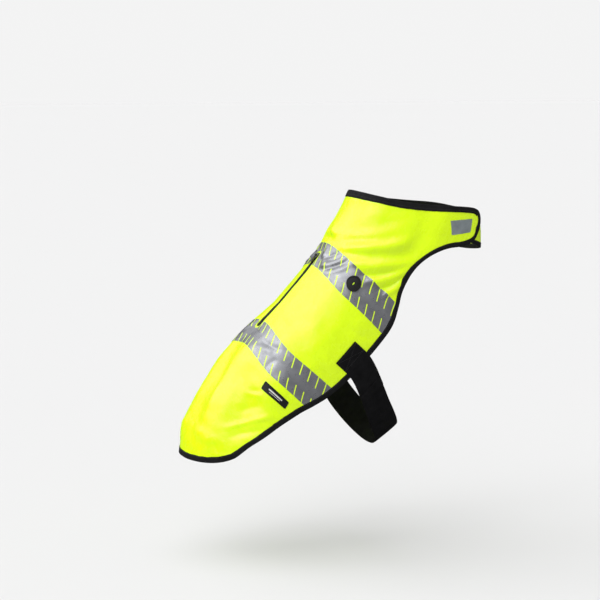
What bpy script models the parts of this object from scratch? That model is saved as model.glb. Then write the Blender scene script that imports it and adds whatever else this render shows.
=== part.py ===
"""Reflective safety vest in its worn form: one back panel with bindings, tapes, zip, tab and belly strap.

A place on the cloth is (along, around): along runs down the centre back from the neck edge, around runs round
the figure from the centre back and is negative on the wearer's right. Tables and sizes are millimetres, and MM
turns them into metres. +X is forward, +Z up, -Y the wearer's right. The origin is the inner face of the cloth
at the withers, where the wearer holds it up.
"""
import math

import bmesh
import bpy
import numpy as np
from mathutils import Matrix, Vector
from mathutils.geometry import delaunay_2d_cdt

MM = 0.001

# Thicknesses and gaps
WALL = 1.6
GAP = 0.3
TAPE = 0.9
TRIM = 0.9
BINDING = 0.9
WEBBING = 1.5
HEM = 2.6
BADGE = 2.0

# Widths and lengths
BINDING_WIDTH = 9.6
NECK_BINDING_WIDTH = 13.0
STRAP_WIDTH = 48.0
ZIP_TOP, ZIP_END = 127.0, 299.0
SLIT_HALF, NOTCH_HALF, ZIP_TAPE_HALF, CHAIN_HALF = 6.5, 8.5, 13.0, 2.6
NOTCH_END, ZIP_TAPE_END = 4.0, 8.0
CHAIN_TOP = 1.5
SEAT_ALONG = 120.0

# Right lap over the left one: height, and the places between which it rises (around to the right, along upwards)
LAP_LIFT, LIFT_AROUND, LIFT_ALONG = 5.6, (160, 205), (-88, -60)
LAP_FLARE, FLARE_AROUND, FLARE_ALONG = 1.5, (245, 290), (-70, -50)

# Mesh spacing
ROW_STEP, COLUMN_STEP, EDGE_STEP = 20.0, 19.0, 15.0
EDGE_TURN = math.radians(26)
FOLD_STEP, KEEP_APART = 13.0, 6.5
TAPE_STEP, TAPE_LINE_POINTS, STRAP_STEP = 12.2, 33, 16.0
ZIP_STEP, LABEL_STEP, COLUMN_APART = 14.5, 14.0, 11.8
FINE_POINTS = 800

# General figure under the cloth, a row for each girth: belly deepens the lower half, sweep bends it to the rear
FIGURE_ROWS = (
    # along, x, z, lean, depth, half_width, sweep, belly
    (0, 59, 104, 9, 240, 80, 0, 0),
    (52, 34, 58, 12, 272, 90, 0, 0),
    (80, 19, 35, 26, 284, 100, 3, 10),
    (105, 8, 12, 40, 284, 107, 10, 20),
    (152, -19, -24, 44, 275, 112, 14, 35),
    (227, -70, -81, 45, 265, 113, 18, 48),
    (283, -109, -121, 46, 255, 112, 20, 48),
    (328, -141, -153, 47, 250, 112, 20, 42),
    (391, -180, -203, 40, 250, 114, 16, 25),
    (461, -221, -259, 28, 250, 115, 8, 10),
    (518, -250, -310, 15, 245, 112, 0, 0),
    (557, -259, -350, 6, 240, 108, 0, 0),
)
SQUARENESS = 2.3
FIGURE_STEPS = 361

# Cut edge of the right side from the neck to the hem's centre, rows of (along, around)
NECK_EDGE = ((3, -60), (6.5, -120), (4, -180), (0.5, -235))
LAP_END = ((2, -260), (8, -272), (20, -280), (37, -283), (49, -277))
ARMHOLE = ((55, -257), (60, -226), (67, -205), (76, -192), (87, -186), (98, -188.5), (110, -199.5), (126, -209.5),
           (147, -214.5), (172, -216))
STRAP_EDGE = ((197, -216), (245, -215))
SIDE_EDGE = ((289, -209.5), (317, -201.5), (351, -188), (403, -171), (458, -158), (508, -144))
HEM_EDGE = ((538, -126.5), (553, -102), (559.5, -68))
HEM_CENTRE = (561, 0)

# Left lap under the right one, rows of (along, past the centre front)
UNDERLAP_LOWER = ((56, -50), (54, 20), (52, 80))
UNDERLAP_END = ((50, 104), (45, 119), (36, 127), (25, 127), (14, 119), (7, 104))
UNDERLAP_NECK = ((4, 60), (3, 0), (2, -50))

# Reflective tapes: upper and lower edge at the centre back, and their shift at the side edge
TAPES = (
    # name, top, bottom, top_shift, bottom_shift
    ("upper_tape", 105, 155, 5, 3),
    ("lower_tape", 286, 338, -8, -8),
)
TAPE_REACH, TAPE_OVERRUN = 204.0, 40.0

# Small pieces on the right side, places as (along, around)
CHEST_TAPE = ((31, -211), (49, -224), (43, -262), (22, -256))
LABEL_CENTRE, LABEL_SIZE = (359.0, -134.0), (18.0, 55.0)
BADGE_CENTRE, BADGE_RADIUS, BADGE_SIDES = (129.0, -112.0), 13.5, 18
PATCH_TOP = -178.0

# Route of the strap past the cut edge, rows of (around, along) of its middle
STRAP_ROUTE = ((218, 221), (240, 226), (264, 234), (284, 240), (302, 245), (329, 250), (360, 254), (400, 257),
               (437, 258))
TAB_HEM_START, TAB_HEM_END = 255.0, 271.0
STRAP_START, STRAP_MIDDLE_GAP = 232.0, 4.0
ROUTE_START, DROP_START, TAB_DROP_END, STRAP_DROP_END = 224.0, 222.0, 245.0, 255.0

# Binding's cross-section: where its legs end short of their width, and the shares of the wall at its round edge
LEG_TIP, RIM_HIGH, RIM_LOW = 0.04, 0.85, 0.15

# Folds in the cloth: two ends, sideways bow, height (a trough is negative) and half width
FOLDS = (
    # along_1, around_1, along_2, around_2, bow, height, width
    (88, -50, 63, -152, 2, 3.2, 7),
    (99, -46, 74, -168, 3, -3.4, 6.5),
    (103, -66, 80, -176, 2, 2.8, 6),
    (110, -108, 87, -176, 1, -2.4, 6),
    (70, -30, 46, -120, 3, -2.2, 9),
    (94, -32, 92, 34, 0, -4.2, 7),
    (84, -34, 82, 30, 0, 2.6, 6),
    (90, 52, 66, 148, 2, 3.0, 7),
    (101, 44, 78, 160, 3, -3.2, 6.5),
    (106, 70, 86, 172, 2, 2.4, 6),
    (72, 34, 48, 128, 3, -2.4, 9),
    (118, -16, 148, -62, 5, 2.6, 8),
    (122, 18, 150, 60, -5, 2.4, 8),
    (318, 2, 492, -44, -8, 3.2, 10),
    (350, 44, 500, 72, 10, 2.6, 12),
    (372, -92, 470, -118, 6, -2.4, 12),
    (384, -60, 505, -92, 6, 2.2, 14),
    (380, 96, 486, 122, -6, -2.4, 13),
    (176, -64, 262, -150, 6, 1.8, 16),
    (170, 70, 255, 160, -6, 1.8, 16),
    (236, 48, 560, 50, 0, 9.5, 32),
    (236, -48, 560, -50, 0, 5.0, 30),
    (502, -16, 520, -84, 4, 2.0, 10),
    (500, 20, 518, 80, -4, 2.0, 10),
)

# Slider and pull
SLIDER_ALONG, SLIDER_LENGTH, SLIDER_HALF = 134.0, 9.0, 3.7
SLIDER_TOP, SLIDER_PLATE = 3.0, 1.2
FLANGE = 0.8
PIN_HEIGHT, PIN_RADIUS, EAR_RADIUS, EAR_WIDTH, EAR_OFFSET = 4.9, 0.6, 1.4, 0.9, 2.15
PULL_LENGTH, PULL_WIDTH, PULL_THICKNESS, EYE_RADIUS, EYE_WIDTH, EYE_HOLE = 16.0, 5.0, 1.2, 1.5, 2.6, 0.9
PULL_NECK = 4.0

FLUORESCENT = ("fluorescent_cloth", (0.72, 1.0, 0.0), 0.85, 0.0)
BLACK_BINDING = ("black_binding", (0.01, 0.01, 0.012), 0.8, 0.0)
SILVER_TAPE = ("reflective_tape", (0.25, 0.26, 0.28), 0.45, 0.3)
GREY_TAPE = ("grey_tape", (0.22, 0.25, 0.3), 0.5, 0.2)
BLACK_WEBBING = ("black_webbing", (0.01, 0.01, 0.012), 0.75, 0.0)
BLACK_RUBBER = ("black_rubber", (0.012, 0.012, 0.012), 0.5, 0.0)
BLACK_COIL = ("black_coil", (0.012, 0.012, 0.012), 0.4, 0.0)
BLACK_METAL = ("black_metal", (0.02, 0.02, 0.02), 0.35, 0.8)


def clear_scene():
    """Remove the objects that a new file starts with."""
    for item in list(bpy.data.objects):
        bpy.data.objects.remove(item)


def finish(spec):
    """Principled material from a name, colour, roughness and metallic value."""
    name, colour, roughness, metallic = spec
    material = bpy.data.materials.get(name)
    if material is None:
        material = bpy.data.materials.new(name)
        material.use_nodes = True
        shader = material.node_tree.nodes["Principled BSDF"]
        shader.inputs["Base Color"].default_value = (*colour, 1.0)
        shader.inputs["Roughness"].default_value = roughness
        shader.inputs["Metallic"].default_value = metallic
    return material


def signed_power(value, exponent):
    """Power that keeps the sign of its base."""
    return np.sign(value) * np.abs(value) ** exponent


def unit(vectors):
    """Vectors of length one."""
    return vectors / np.linalg.norm(vectors, axis=-1, keepdims=True)


def smooth_rows(rows, at):
    """Smooth curve through a table whose first column rises; gives the other columns."""
    table = np.array(rows, float)
    key, values = table[:, 0], table[:, 1:]
    slope = np.gradient(values, key, axis=0)
    at = np.clip(at, key[0] - 20.0, key[-1] + 20.0)
    i = np.clip(np.searchsorted(key, at) - 1, 0, len(key) - 2)
    span = (key[i + 1] - key[i])[:, None]
    t = (at - key[i])[:, None] / span
    rise = 3 * t**2 - 2 * t**3
    return (values[i] * (1 - rise) + values[i + 1] * rise
            + span * (slope[i] * (t - 2 * t**2 + t**3) + slope[i + 1] * (t**3 - t**2)))


def half_sections(along):
    """Girth lines of the figure from the back to the underside: x, z, side and the girth so far."""
    x, z, lean, depth, half_width, sweep, belly = smooth_rows(FIGURE_ROWS, along).T[:, :, None]
    turn = np.linspace(0, math.pi, FIGURE_STEPS)[None]
    rise = signed_power(np.cos(turn), 2 / SQUARENESS)
    down = (1 - rise) / 2 * depth + np.maximum(-rise, 0) * belly
    side = signed_power(np.sin(turn), 2 / SQUARENESS) * half_width
    back = sweep * np.sin(np.minimum(turn * 1.5, math.pi / 2)) ** 2
    lean = np.radians(lean)
    steps = np.hypot(np.diff(down, axis=1), np.diff(side, axis=1))
    girth = np.concatenate([np.zeros((len(along), 1)), np.cumsum(steps, axis=1)], axis=1)
    return (x + down * np.cos(lean) - back * np.sin(lean), z - down * np.sin(lean) - back * np.cos(lean),
            side, girth)


def half_girth(along):
    """Cloth length from the centre back to the centre front at one place along."""
    return half_sections(np.array([float(along)]))[3][0, -1]


def figure(along, around):
    """Points of the figure's surface, millimetres."""
    along = np.asarray(along, float)
    around = np.asarray(around, float)
    x, z, side, girth = half_sections(along)
    half = girth[:, -1]
    past = np.abs(around) > half
    reach = np.where(past, 2 * half - np.abs(around), np.abs(around))
    row = np.arange(len(along))
    i = np.clip((girth <= reach[:, None]).sum(axis=1) - 1, 0, FIGURE_STEPS - 2)
    t = (reach - girth[row, i]) / (girth[row, i + 1] - girth[row, i])
    picked = [line[row, i] * (1 - t) + line[row, i + 1] * t for line in (x, side, z)]
    picked[1] = picked[1] * np.where(past, -1, 1) * np.where(around < 0, -1, 1)
    return np.stack(picked, axis=1)


def figure_normal(along, around):
    """Outward normals of the figure's surface."""
    step = 2.0
    down = figure(along + step, around) - figure(along - step, around)
    round_it = figure(along, around + step) - figure(along, around - step)
    return unit(np.cross(round_it, down))


def smooth_step(value, start, end):
    """Eases from 0 at start to 1 at end."""
    t = np.clip((value - start) / (end - start), 0, 1)
    return t * t * (3 - 2 * t)


def fold_height(along, around):
    """Height of all folds at places on the cloth."""
    total = np.zeros(len(along))
    for along_1, around_1, along_2, around_2, bow, height, width in FOLDS:
        run = np.array([along_2 - along_1, around_2 - around_1], float)
        length = np.linalg.norm(run)
        run = run / length
        offset = np.stack([along - along_1, around - around_1], axis=1)
        t = np.clip(offset @ run / length, 0, 1)
        bulge = 4 * t * (1 - t)
        side = offset @ np.array([-run[1], run[0]]) - bow * bulge
        total += height * bulge * np.exp(-(side / width) ** 2)
    return total


def lap_height(along, around):
    """How far the right lap stands out to lie on the left one, and its end's slight flare."""
    lift = LAP_LIFT * smooth_step(-around, *LIFT_AROUND) * smooth_step(-along, *LIFT_ALONG)
    flare = LAP_FLARE * smooth_step(-around, *FLARE_AROUND) * smooth_step(-along, *FLARE_ALONG)
    return lift + flare


def worn(along, around):
    """Inner face of the worn cloth, millimetres from the seat."""
    along = np.asarray(along, float)
    around = np.asarray(around, float)
    rise = fold_height(along, around) + lap_height(along, around)
    return figure(along, around) - SEAT + figure_normal(along, around) * rise[:, None]


def worn_normal(along, around):
    """Outward normals of the worn cloth."""
    step = 2.0
    down = worn(along + step, around) - worn(along - step, around)
    round_it = worn(along, around + step) - worn(along, around - step)
    return unit(np.cross(round_it, down))


SEAT = figure([SEAT_ALONG], [0.0])[0]


def left_lap():
    """Cut edge of the left lap, from its lower edge round its end to the neck."""
    rows = UNDERLAP_LOWER + UNDERLAP_END + UNDERLAP_NECK
    return [(along, half_girth(along) + past) for along, past in rows]


def cut_edge():
    """Closed cut edge as (along, around) points, and the places of its named rows."""
    right = NECK_EDGE + LAP_END + ARMHOLE + STRAP_EDGE + SIDE_EDGE + HEM_EDGE
    shared = ARMHOLE + STRAP_EDGE + SIDE_EDGE + HEM_EDGE
    mirrored = [(along, -around) for along, around in reversed(shared)]
    neck = [(along, -around) for along, around in reversed(NECK_EDGE)]
    rows = [(0.0, 0.0), *right, HEM_CENTRE, *mirrored, *left_lap(), *neck]
    points = np.array(rows, float)
    before, after = np.roll(points, 1, axis=0), np.roll(points, -1, axis=0)
    far = np.roll(points, -2, axis=0)
    made = []
    places = {}
    for i, row in enumerate(rows):
        places[row] = len(made)
        ahead, last = after[i] - points[i], points[i] - before[i]
        bend = abs(math.atan2(last[0] * ahead[1] - last[1] * ahead[0], float(last @ ahead)))
        count = max(1, round(np.linalg.norm(ahead) / EDGE_STEP + bend / EDGE_TURN / 2))
        for t in np.arange(count) / count:
            made.append(catmull_rom(before[i], points[i], after[i], far[i], t))
    return np.array(made), places


def catmull_rom(before, start, end, after, t):
    """Point between start and end on a smooth curve, with tangents kept to the span's own length."""
    span = np.linalg.norm(end - start)
    leave = (end - before) / (np.linalg.norm(start - before) + span) * span
    arrive = (after - start) / (np.linalg.norm(after - end) + span) * span
    rise = 3 * t**2 - 2 * t**3
    return start * (1 - rise) + end * rise + leave * (t - 2 * t**2 + t**3) + arrive * (t**3 - t**2)


def inset(points, widths):
    """Points moved into the panel by widths, measured on the worn cloth."""
    ahead = np.roll(points, -1, axis=0) - np.roll(points, 1, axis=0)
    inward = unit(np.stack([-ahead[:, 1], ahead[:, 0]], axis=1))
    step = 1.0
    here = figure(points[:, 0], points[:, 1])
    there = figure(points[:, 0] + inward[:, 0] * step, points[:, 1] + inward[:, 1] * step)
    scale = np.linalg.norm(there - here, axis=1) / step
    return points + inward * (widths / scale)[:, None]


def inside(points, outline):
    """Which points lie inside a closed outline."""
    hit = np.zeros(len(points), bool)
    ends = np.roll(outline, -1, axis=0)
    for (a1, r1), (a2, r2) in zip(outline, ends):
        if a1 != a2:
            crosses = (points[:, 0] < a1) != (points[:, 0] < a2)
            at = r1 + (points[:, 0] - a1) * (r2 - r1) / (a2 - a1)
            hit ^= crosses & (points[:, 1] < at)
    return hit


def long_box(start, end, half, step=ZIP_STEP):
    """Rectangle round the zip with points along its two sides."""
    places = np.linspace(start, end, round((end - start) / step) + 1)
    return np.array([(along, -half) for along in places] + [(along, half) for along in places[::-1]])


def plain_box(centre, size, step=LABEL_STEP):
    """Rectangle with points along its two long sides."""
    count = round(size[1] / step) + 1
    places = np.linspace(centre[1] - size[1] / 2, centre[1] + size[1] / 2, count)
    top, bottom = centre[0] - size[0] / 2, centre[0] + size[0] / 2
    return np.array([(top, around) for around in places] + [(bottom, around) for around in places[::-1]])


def circle(centre, radius, sides):
    """Circle as (along, around) points."""
    turns = np.linspace(0, 2 * math.pi, sides, endpoint=False)
    return np.stack([centre[0] + radius * np.cos(turns), centre[1] + radius * np.sin(turns)], axis=1)


def tape_edges(tape):
    """Upper and lower edge line of a tape across the panel, past the cut edge on both sides."""
    _, top, bottom, top_shift, bottom_shift = tape
    across = np.linspace(-TAPE_REACH - TAPE_OVERRUN, TAPE_REACH + TAPE_OVERRUN, TAPE_LINE_POINTS)
    slant = (across / TAPE_REACH) ** 2
    return [np.stack([edge + shift * slant, across], axis=1)
            for edge, shift in ((top, top_shift), (bottom, bottom_shift))]


def fold_points():
    """Places along each fold's crest and flanks, so that the mesh follows the folds."""
    crests, flanks = [], []
    for along_1, around_1, along_2, around_2, bow, _, width in FOLDS:
        run = np.array([along_2 - along_1, around_2 - around_1], float)
        length = np.linalg.norm(run)
        across = np.array([-run[1], run[0]]) / length
        for t in np.linspace(0, 1, round(length / FOLD_STEP) + 1):
            crest = np.array([along_1, around_1]) + run * t + across * bow * 4 * t * (1 - t)
            crests.append(crest)
            flanks += [crest + across * width * 1.5, crest - across * width * 1.5]
    return crests + flanks


def grid_points(outline):
    """Even rows of places over the whole panel."""
    low, high = outline.min(axis=0), outline.max(axis=0)
    places = []
    for row, along in enumerate(np.arange(low[0] + ROW_STEP / 2, high[0], ROW_STEP)):
        shift = COLUMN_STEP / 2 * (row % 2)
        places += [(along, around) for around in np.arange(low[1] + shift, high[1], COLUMN_STEP)]
    return places


class Cloth:
    """The panel's cut pattern as triangles, with each corner's place and normal on the worn cloth."""

    def __init__(self):
        self.edge, self.row_ids = cut_edge()
        count = len(self.edge)
        self.neck_start = self.row_ids[LAP_END[1]]
        left = left_lap()
        self.neck_end = self.row_ids[left[len(UNDERLAP_LOWER) + 3]]
        on_neck = (np.arange(count) <= self.neck_start) | (np.arange(count) >= self.neck_end)
        self.inset = inset(self.edge, np.where(on_neck, NECK_BINDING_WIDTH, BINDING_WIDTH))
        self.slit = long_box(ZIP_TOP, ZIP_END, SLIT_HALF)
        self.notch = long_box(ZIP_TOP - NOTCH_END, ZIP_END + NOTCH_END, NOTCH_HALF)
        self.zip_area = long_box(ZIP_TOP - ZIP_TAPE_END, ZIP_END + ZIP_TAPE_END, ZIP_TAPE_HALF)
        self.label = plain_box(LABEL_CENTRE, LABEL_SIZE)
        self.badge = circle(BADGE_CENTRE, BADGE_RADIUS, BADGE_SIDES)
        self.patches = {side: self.patch_outline(side) for side in (-1, 1)}
        self.lines = [self.trimmed(line) for tape in TAPES for line in tape_edges(tape)]
        self.triangulate()

    def strap_span(self, side):
        """Edge numbers between the strap's two sides, front to rear."""
        first, last = (self.row_ids[(along, side * abs(around))] for along, around in STRAP_EDGE)
        return list(range(first, last + 1)) if side < 0 else list(range(first, last - 1, -1))

    def patch_outline(self, side):
        """Outline of the strap's sewn patch, from the cut edge up onto the panel."""
        span = self.strap_span(side)
        front, rear = self.edge[span[0]][0], self.edge[span[-1]][0]
        top = side * abs(PATCH_TOP)
        tops = [(along, top) for along in np.linspace(rear, front, 4)]
        return np.array([*self.edge[span], self.inset[span[-1]], *tops, self.inset[span[0]]])

    def trimmed(self, line):
        """The part of a line that lies well inside the inset line, meeting it at both ends."""
        fine = np.array([line[0] + (line[-1] - line[0]) * t for t in np.linspace(0, 1, FINE_POINTS)])
        fine[:, 0] = np.interp(fine[:, 1], line[:, 1], line[:, 0])
        fine = fine[inside(fine, self.inset)]
        picks = np.linspace(0, len(fine) - 1, round(np.ptp(fine[:, 1]) / TAPE_STEP) + 1).astype(int)
        return fine[picks]

    def triangulate(self):
        """Triangles between all the pattern's lines and the points that follow its folds."""
        closed = [self.edge, self.inset, self.slit, self.notch, self.zip_area, self.label, self.badge,
                  np.array(CHEST_TAPE, float), *self.patches.values()]
        points, edges, starts = [], [], []
        for line in closed + self.lines:
            first = len(points)
            starts.append(first)
            points += [tuple(place) for place in line]
            edges += [(i, i + 1) for i in range(first, len(points) - 1)]
        for line, first in zip(closed, starts):
            edges.append((first + len(line) - 1, first))
        kept = np.array(points)
        spare = []
        for places, apart in ((fold_points(), KEEP_APART), (grid_points(self.edge), COLUMN_APART)):
            for place in places:
                if np.hypot(*(kept - place).T).min() > apart:
                    kept = np.vstack([kept, place])
                    spare.append(tuple(place))
        flat = [Vector((around, along)) for along, around in points + spare]
        corners, _, faces, origin, _, _ = delaunay_2d_cdt(flat, edges, [], 0, 0.01, True)
        self.flat = np.array([(corner.y, corner.x) for corner in corners])
        number = {source: i for i, sources in enumerate(origin) for source in sources}
        self.edge_ids = [number[starts[0] + i] for i in range(len(self.edge))]
        self.inset_ids = [number[starts[1] + i] for i in range(len(self.inset))]
        faces = np.array([list(face) for face in faces])
        middle = self.flat[faces].mean(axis=1)
        keep = inside(middle, self.edge) & ~inside(middle, self.slit)
        self.faces, self.middle = faces[keep], middle[keep]
        self.place = worn(self.flat[:, 0], self.flat[:, 1])
        self.normal = worn_normal(self.flat[:, 0], self.flat[:, 1])

    def leans(self, stations):
        """Whether the panel's strip under the binding is split from inset to edge after each station."""
        joins = {frozenset(pair) for a, b, c in self.faces.tolist() for pair in ((a, b), (b, c), (c, a))}
        return [frozenset((self.inset_ids[i], self.edge_ids[j])) in joins
                for i, j in zip(stations, stations[1:])]

    def raised(self, ids, height):
        """Corners moved out from the inner face by height."""
        return self.place[ids] + self.normal[ids] * height

    def on_tape(self, tape):
        """Triangles under one reflective tape."""
        top, bottom = tape_edges(tape)
        along, around = self.middle.T
        between = (along > np.interp(around, top[:, 1], top[:, 0])) & (
            along < np.interp(around, bottom[:, 1], bottom[:, 0]))
        return between & inside(self.middle, self.inset) & ~inside(self.middle, self.notch)


def add_object(name, mesh, spec, collection):
    """Object with one finish in the vest's collection."""
    item = bpy.data.objects.new(name, mesh)
    mesh.materials.append(finish(spec))
    mesh.shade_smooth()
    mesh.set_sharp_from_angle(angle=math.radians(40))
    collection.objects.link(item)
    return item


def mesh_from(name, points, faces):
    """Mesh in metres from points in millimetres, with unused points left out."""
    points = np.asarray(points, float)
    used = sorted({int(i) for face in faces for i in face})
    number = {old: new for new, old in enumerate(used)}
    mesh = bpy.data.meshes.new(name)
    mesh.from_pydata((points[used] * MM).tolist(), [], [[number[int(i)] for i in face] for face in faces])
    return mesh


def thicken(item, thickness, group=None):
    """Give an open sheet its thickness on its outer side."""
    solid = item.modifiers.new("Thickness", "SOLIDIFY")
    solid.thickness = thickness * MM
    solid.offset = 1.0
    solid.use_quality_normals = True
    if group:
        solid.vertex_group = group
    return item


def skin(name, cloth, chosen, height, thickness, spec, collection):
    """Piece that lies on the panel: its chosen triangles, moved out and given thickness."""
    points = cloth.raised(slice(None), height)
    item = add_object(name, mesh_from(name, points, cloth.faces[chosen]), spec, collection)
    return thicken(item, thickness)


def loft(name, sections, caps, spec, collection, leans=None, rim_side=()):
    """Closed solid through like sections, with the faces that close each end.

    leans gives each step's diagonal, so that flat legs are split as the panel under them is; rim_side names the
    section's points at the cut edge.
    """
    count = len(sections[0])
    faces = [list(face) for face in caps]
    for row in range(len(sections) - 1):
        first, second = row * count, (row + 1) * count
        for i in range(count):
            j = (i + 1) % count
            quad = [first + j, first + i, second + i, second + j]
            if leans is None or (i in rim_side) == (j in rim_side):
                faces.append(quad)
            elif leans[row] == (j in rim_side):
                faces += [[quad[0], quad[1], quad[3]], [quad[1], quad[2], quad[3]]]
            else:
                faces += [[quad[0], quad[1], quad[2]], [quad[0], quad[2], quad[3]]]
    last = (len(sections) - 1) * count
    faces += [[last + i for i in reversed(face)] for face in caps]
    mesh = mesh_from(name, np.concatenate(sections), faces)
    shape = bmesh.new()
    shape.from_mesh(mesh)
    bmesh.ops.recalc_face_normals(shape, faces=shape.faces)
    shape.to_mesh(mesh)
    shape.free()
    return add_object(name, mesh, spec, collection)


def binding(name, cloth, stations, spec, collection):
    """Strip folded over the cut edge, its two legs following the panel's faces."""
    low, high = -GAP, WALL + GAP
    sections = []
    for station in stations:
        edge_id, inset_id = cloth.edge_ids[station], cloth.inset_ids[station]
        edge, deep = cloth.place[edge_id], cloth.place[inset_id]
        out, up, deep_up = unit(edge - deep), cloth.normal[edge_id], cloth.normal[inset_id]
        tip = deep + (edge - deep) * LEG_TIP
        rim = edge + out * (GAP + BINDING)
        sections.append(np.array([
            tip + deep_up * (high + BINDING), edge + up * (high + BINDING), rim + up * WALL * RIM_HIGH,
            rim + up * WALL * RIM_LOW, edge + up * (low - BINDING), tip + deep_up * (low - BINDING),
            tip + deep_up * low, edge + out * GAP + up * low, edge + out * GAP + up * high,
            tip + deep_up * high]))
    for end, inner in ((0, 1), (-1, -2)):
        step = sections[inner] - sections[end]
        sections[end] = sections[end] + step * (GAP / 2 / np.linalg.norm(step, axis=1).mean())
    caps = ([0, 1, 8, 9], [1, 2, 3, 7, 8], [3, 4, 5, 6, 7])
    return loft(name, sections, caps, spec, collection, cloth.leans(stations), {1, 2, 3, 4, 7, 8})


def strap_rows(cloth, side, start, end, height_at):
    """Rows of points across the strap past the cut edge, front to rear."""
    span = cloth.strap_span(-1 if side < 0 else 1)
    edge = cloth.flat[[cloth.edge_ids[i] for i in span]]
    share = (edge[:, 0] - edge[:, 0].mean()) / (np.ptp(edge[:, 0]) / 2)
    route = np.array(STRAP_ROUTE, float)
    rows = []
    count = max(2, round((end - start) / STRAP_STEP))
    for reach in np.linspace(start, end, count + 1):
        mid = smooth_rows(route, np.array([min(reach, route[-1, 0])]))[0, 0]
        along = mid + share * STRAP_WIDTH / 2
        around = np.full(len(share), side * reach)
        height = height_at(reach)
        rows.append(figure(along, around) - SEAT + figure_normal(along, around) * height)
    return rows


def sheet_faces(first, width, rows):
    """Quads of a grid of rows whose points are numbered from first."""
    faces = []
    for row in range(rows - 1):
        a, b = first + row * width, first + (row + 1) * width
        faces += [[a + i, a + i + 1, b + i + 1, b + i] for i in range(width - 1)]
    return faces


def strap(name, cloth, side, rows, collection, hem_rows=0):
    """Sewn patch on one side of the panel, carried on over the binding by rows of points."""
    chosen = inside(cloth.middle, cloth.patches[side])
    rise = np.full(len(cloth.flat), WALL + GAP)
    over = [i for ids in (cloth.edge_ids, cloth.inset_ids) for i in ids]
    rise[over] = WALL + BINDING + 2 * GAP
    raised = cloth.place + cloth.normal * rise[:, None]
    span = [cloth.edge_ids[i] for i in cloth.strap_span(side)]
    first = len(raised)
    points = np.concatenate([raised, *rows])
    faces = [list(face) for face in cloth.faces[chosen]]
    width = len(span)
    joined = [[span[i], span[i + 1], first + i + 1, first + i] for i in range(width - 1)]
    faces += joined + sheet_faces(first, width, len(rows))
    used = sorted({int(i) for face in faces for i in face})
    number = {old: new for new, old in enumerate(used)}
    mesh = mesh_from(name, points, faces)
    shape = bmesh.new()
    shape.from_mesh(mesh)
    bmesh.ops.recalc_face_normals(shape, faces=shape.faces)
    shape.faces.ensure_lookup_table()
    probe = shape.faces[0]
    outward = Vector(cloth.normal[used[0]].tolist())
    if probe.normal.dot(outward) < 0:
        bmesh.ops.reverse_faces(shape, faces=shape.faces)
    shape.to_mesh(mesh)
    shape.free()
    item = add_object(name, mesh, BLACK_WEBBING, collection)
    group = item.vertex_groups.new(name="hem")
    hem_first = first + (len(rows) - hem_rows) * width
    plain = [number[i] for i in used if i < hem_first]
    hem = [number[i] for i in used if i >= hem_first]
    group.add(plain, WEBBING / HEM, "REPLACE")
    if hem:
        group.add(hem, 1.0, "REPLACE")
    return thicken(item, HEM, "hem")


def strap_tab(cloth, collection):
    """Tab sewn to the right side, ending in a doubled hem below the edge."""
    over = WALL + BINDING + 2 * GAP

    def height(reach):
        return over - (over - WEBBING - 3 * GAP) * smooth_step(reach, DROP_START, TAB_DROP_END)

    plain = strap_rows(cloth, -1, ROUTE_START, TAB_HEM_START, height)
    hem = strap_rows(cloth, -1, TAB_HEM_START + 1, TAB_HEM_END, height)
    return strap("strap_tab", cloth, -1, plain + hem, collection, len(hem))


def belly_strap(cloth, collection):
    """Strap sewn to the left side, under the belly and up beneath the right side's tab."""
    bottom = half_girth(STRAP_ROUTE[-1][1])
    over = WALL + BINDING + 2 * GAP

    def height(reach):
        return over - (over - GAP) * smooth_step(reach, DROP_START, STRAP_DROP_END)

    left = strap_rows(cloth, 1, ROUTE_START, bottom - STRAP_MIDDLE_GAP, height)
    right = strap_rows(cloth, -1, STRAP_START, bottom - STRAP_MIDDLE_GAP, lambda reach: GAP)
    return strap("belly_strap", cloth, 1, left + right[::-1], collection)


def zip_sections(cloth):
    """Cross-sections of the closed chain in the slit, on the woven tape that lies behind the panel."""
    count = len(cloth.slit) // 2
    ends = ((ZIP_TOP - ZIP_TAPE_END + 2, ZIP_TOP - 1.0), (ZIP_END + 1.0, ZIP_END + ZIP_TAPE_END - 2))
    inner = np.linspace(ZIP_TOP, ZIP_END, count)
    places = [*ends[0], *inner[1:-1], *ends[1]]
    sections = []
    for along in places:
        in_slit = ZIP_TOP < along < ZIP_END
        top = CHAIN_TOP if in_slit else -GAP
        across = [(ZIP_TAPE_HALF, -GAP - TRIM), (-ZIP_TAPE_HALF, -GAP - TRIM), (-ZIP_TAPE_HALF, -GAP),
                  (-CHAIN_HALF, -GAP), (-CHAIN_HALF, top), (CHAIN_HALF, top), (CHAIN_HALF, -GAP),
                  (ZIP_TAPE_HALF, -GAP)]
        around = np.array([a for a, _ in across])
        rise = np.array([h for _, h in across])
        station = np.full(len(across), along)
        base = worn(station, around)
        sections.append(base + figure_normal(station, around) * rise[:, None])
    return sections


def zip_frame():
    """Place and axes of the slider on the worn cloth: down the zip, to the right, and out."""
    here = worn([SLIDER_ALONG], [0.0])[0]
    down = unit(worn([SLIDER_ALONG + 6], [0.0])[0] - worn([SLIDER_ALONG - 6], [0.0])[0])
    right = np.array([0.0, -1.0, 0.0])
    frame = Matrix.Identity(4)
    for column, axis in enumerate((down, right, np.cross(down, right))):
        frame.col[column][:3] = axis
    frame.translation = Vector(here) * MM
    return frame


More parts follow.
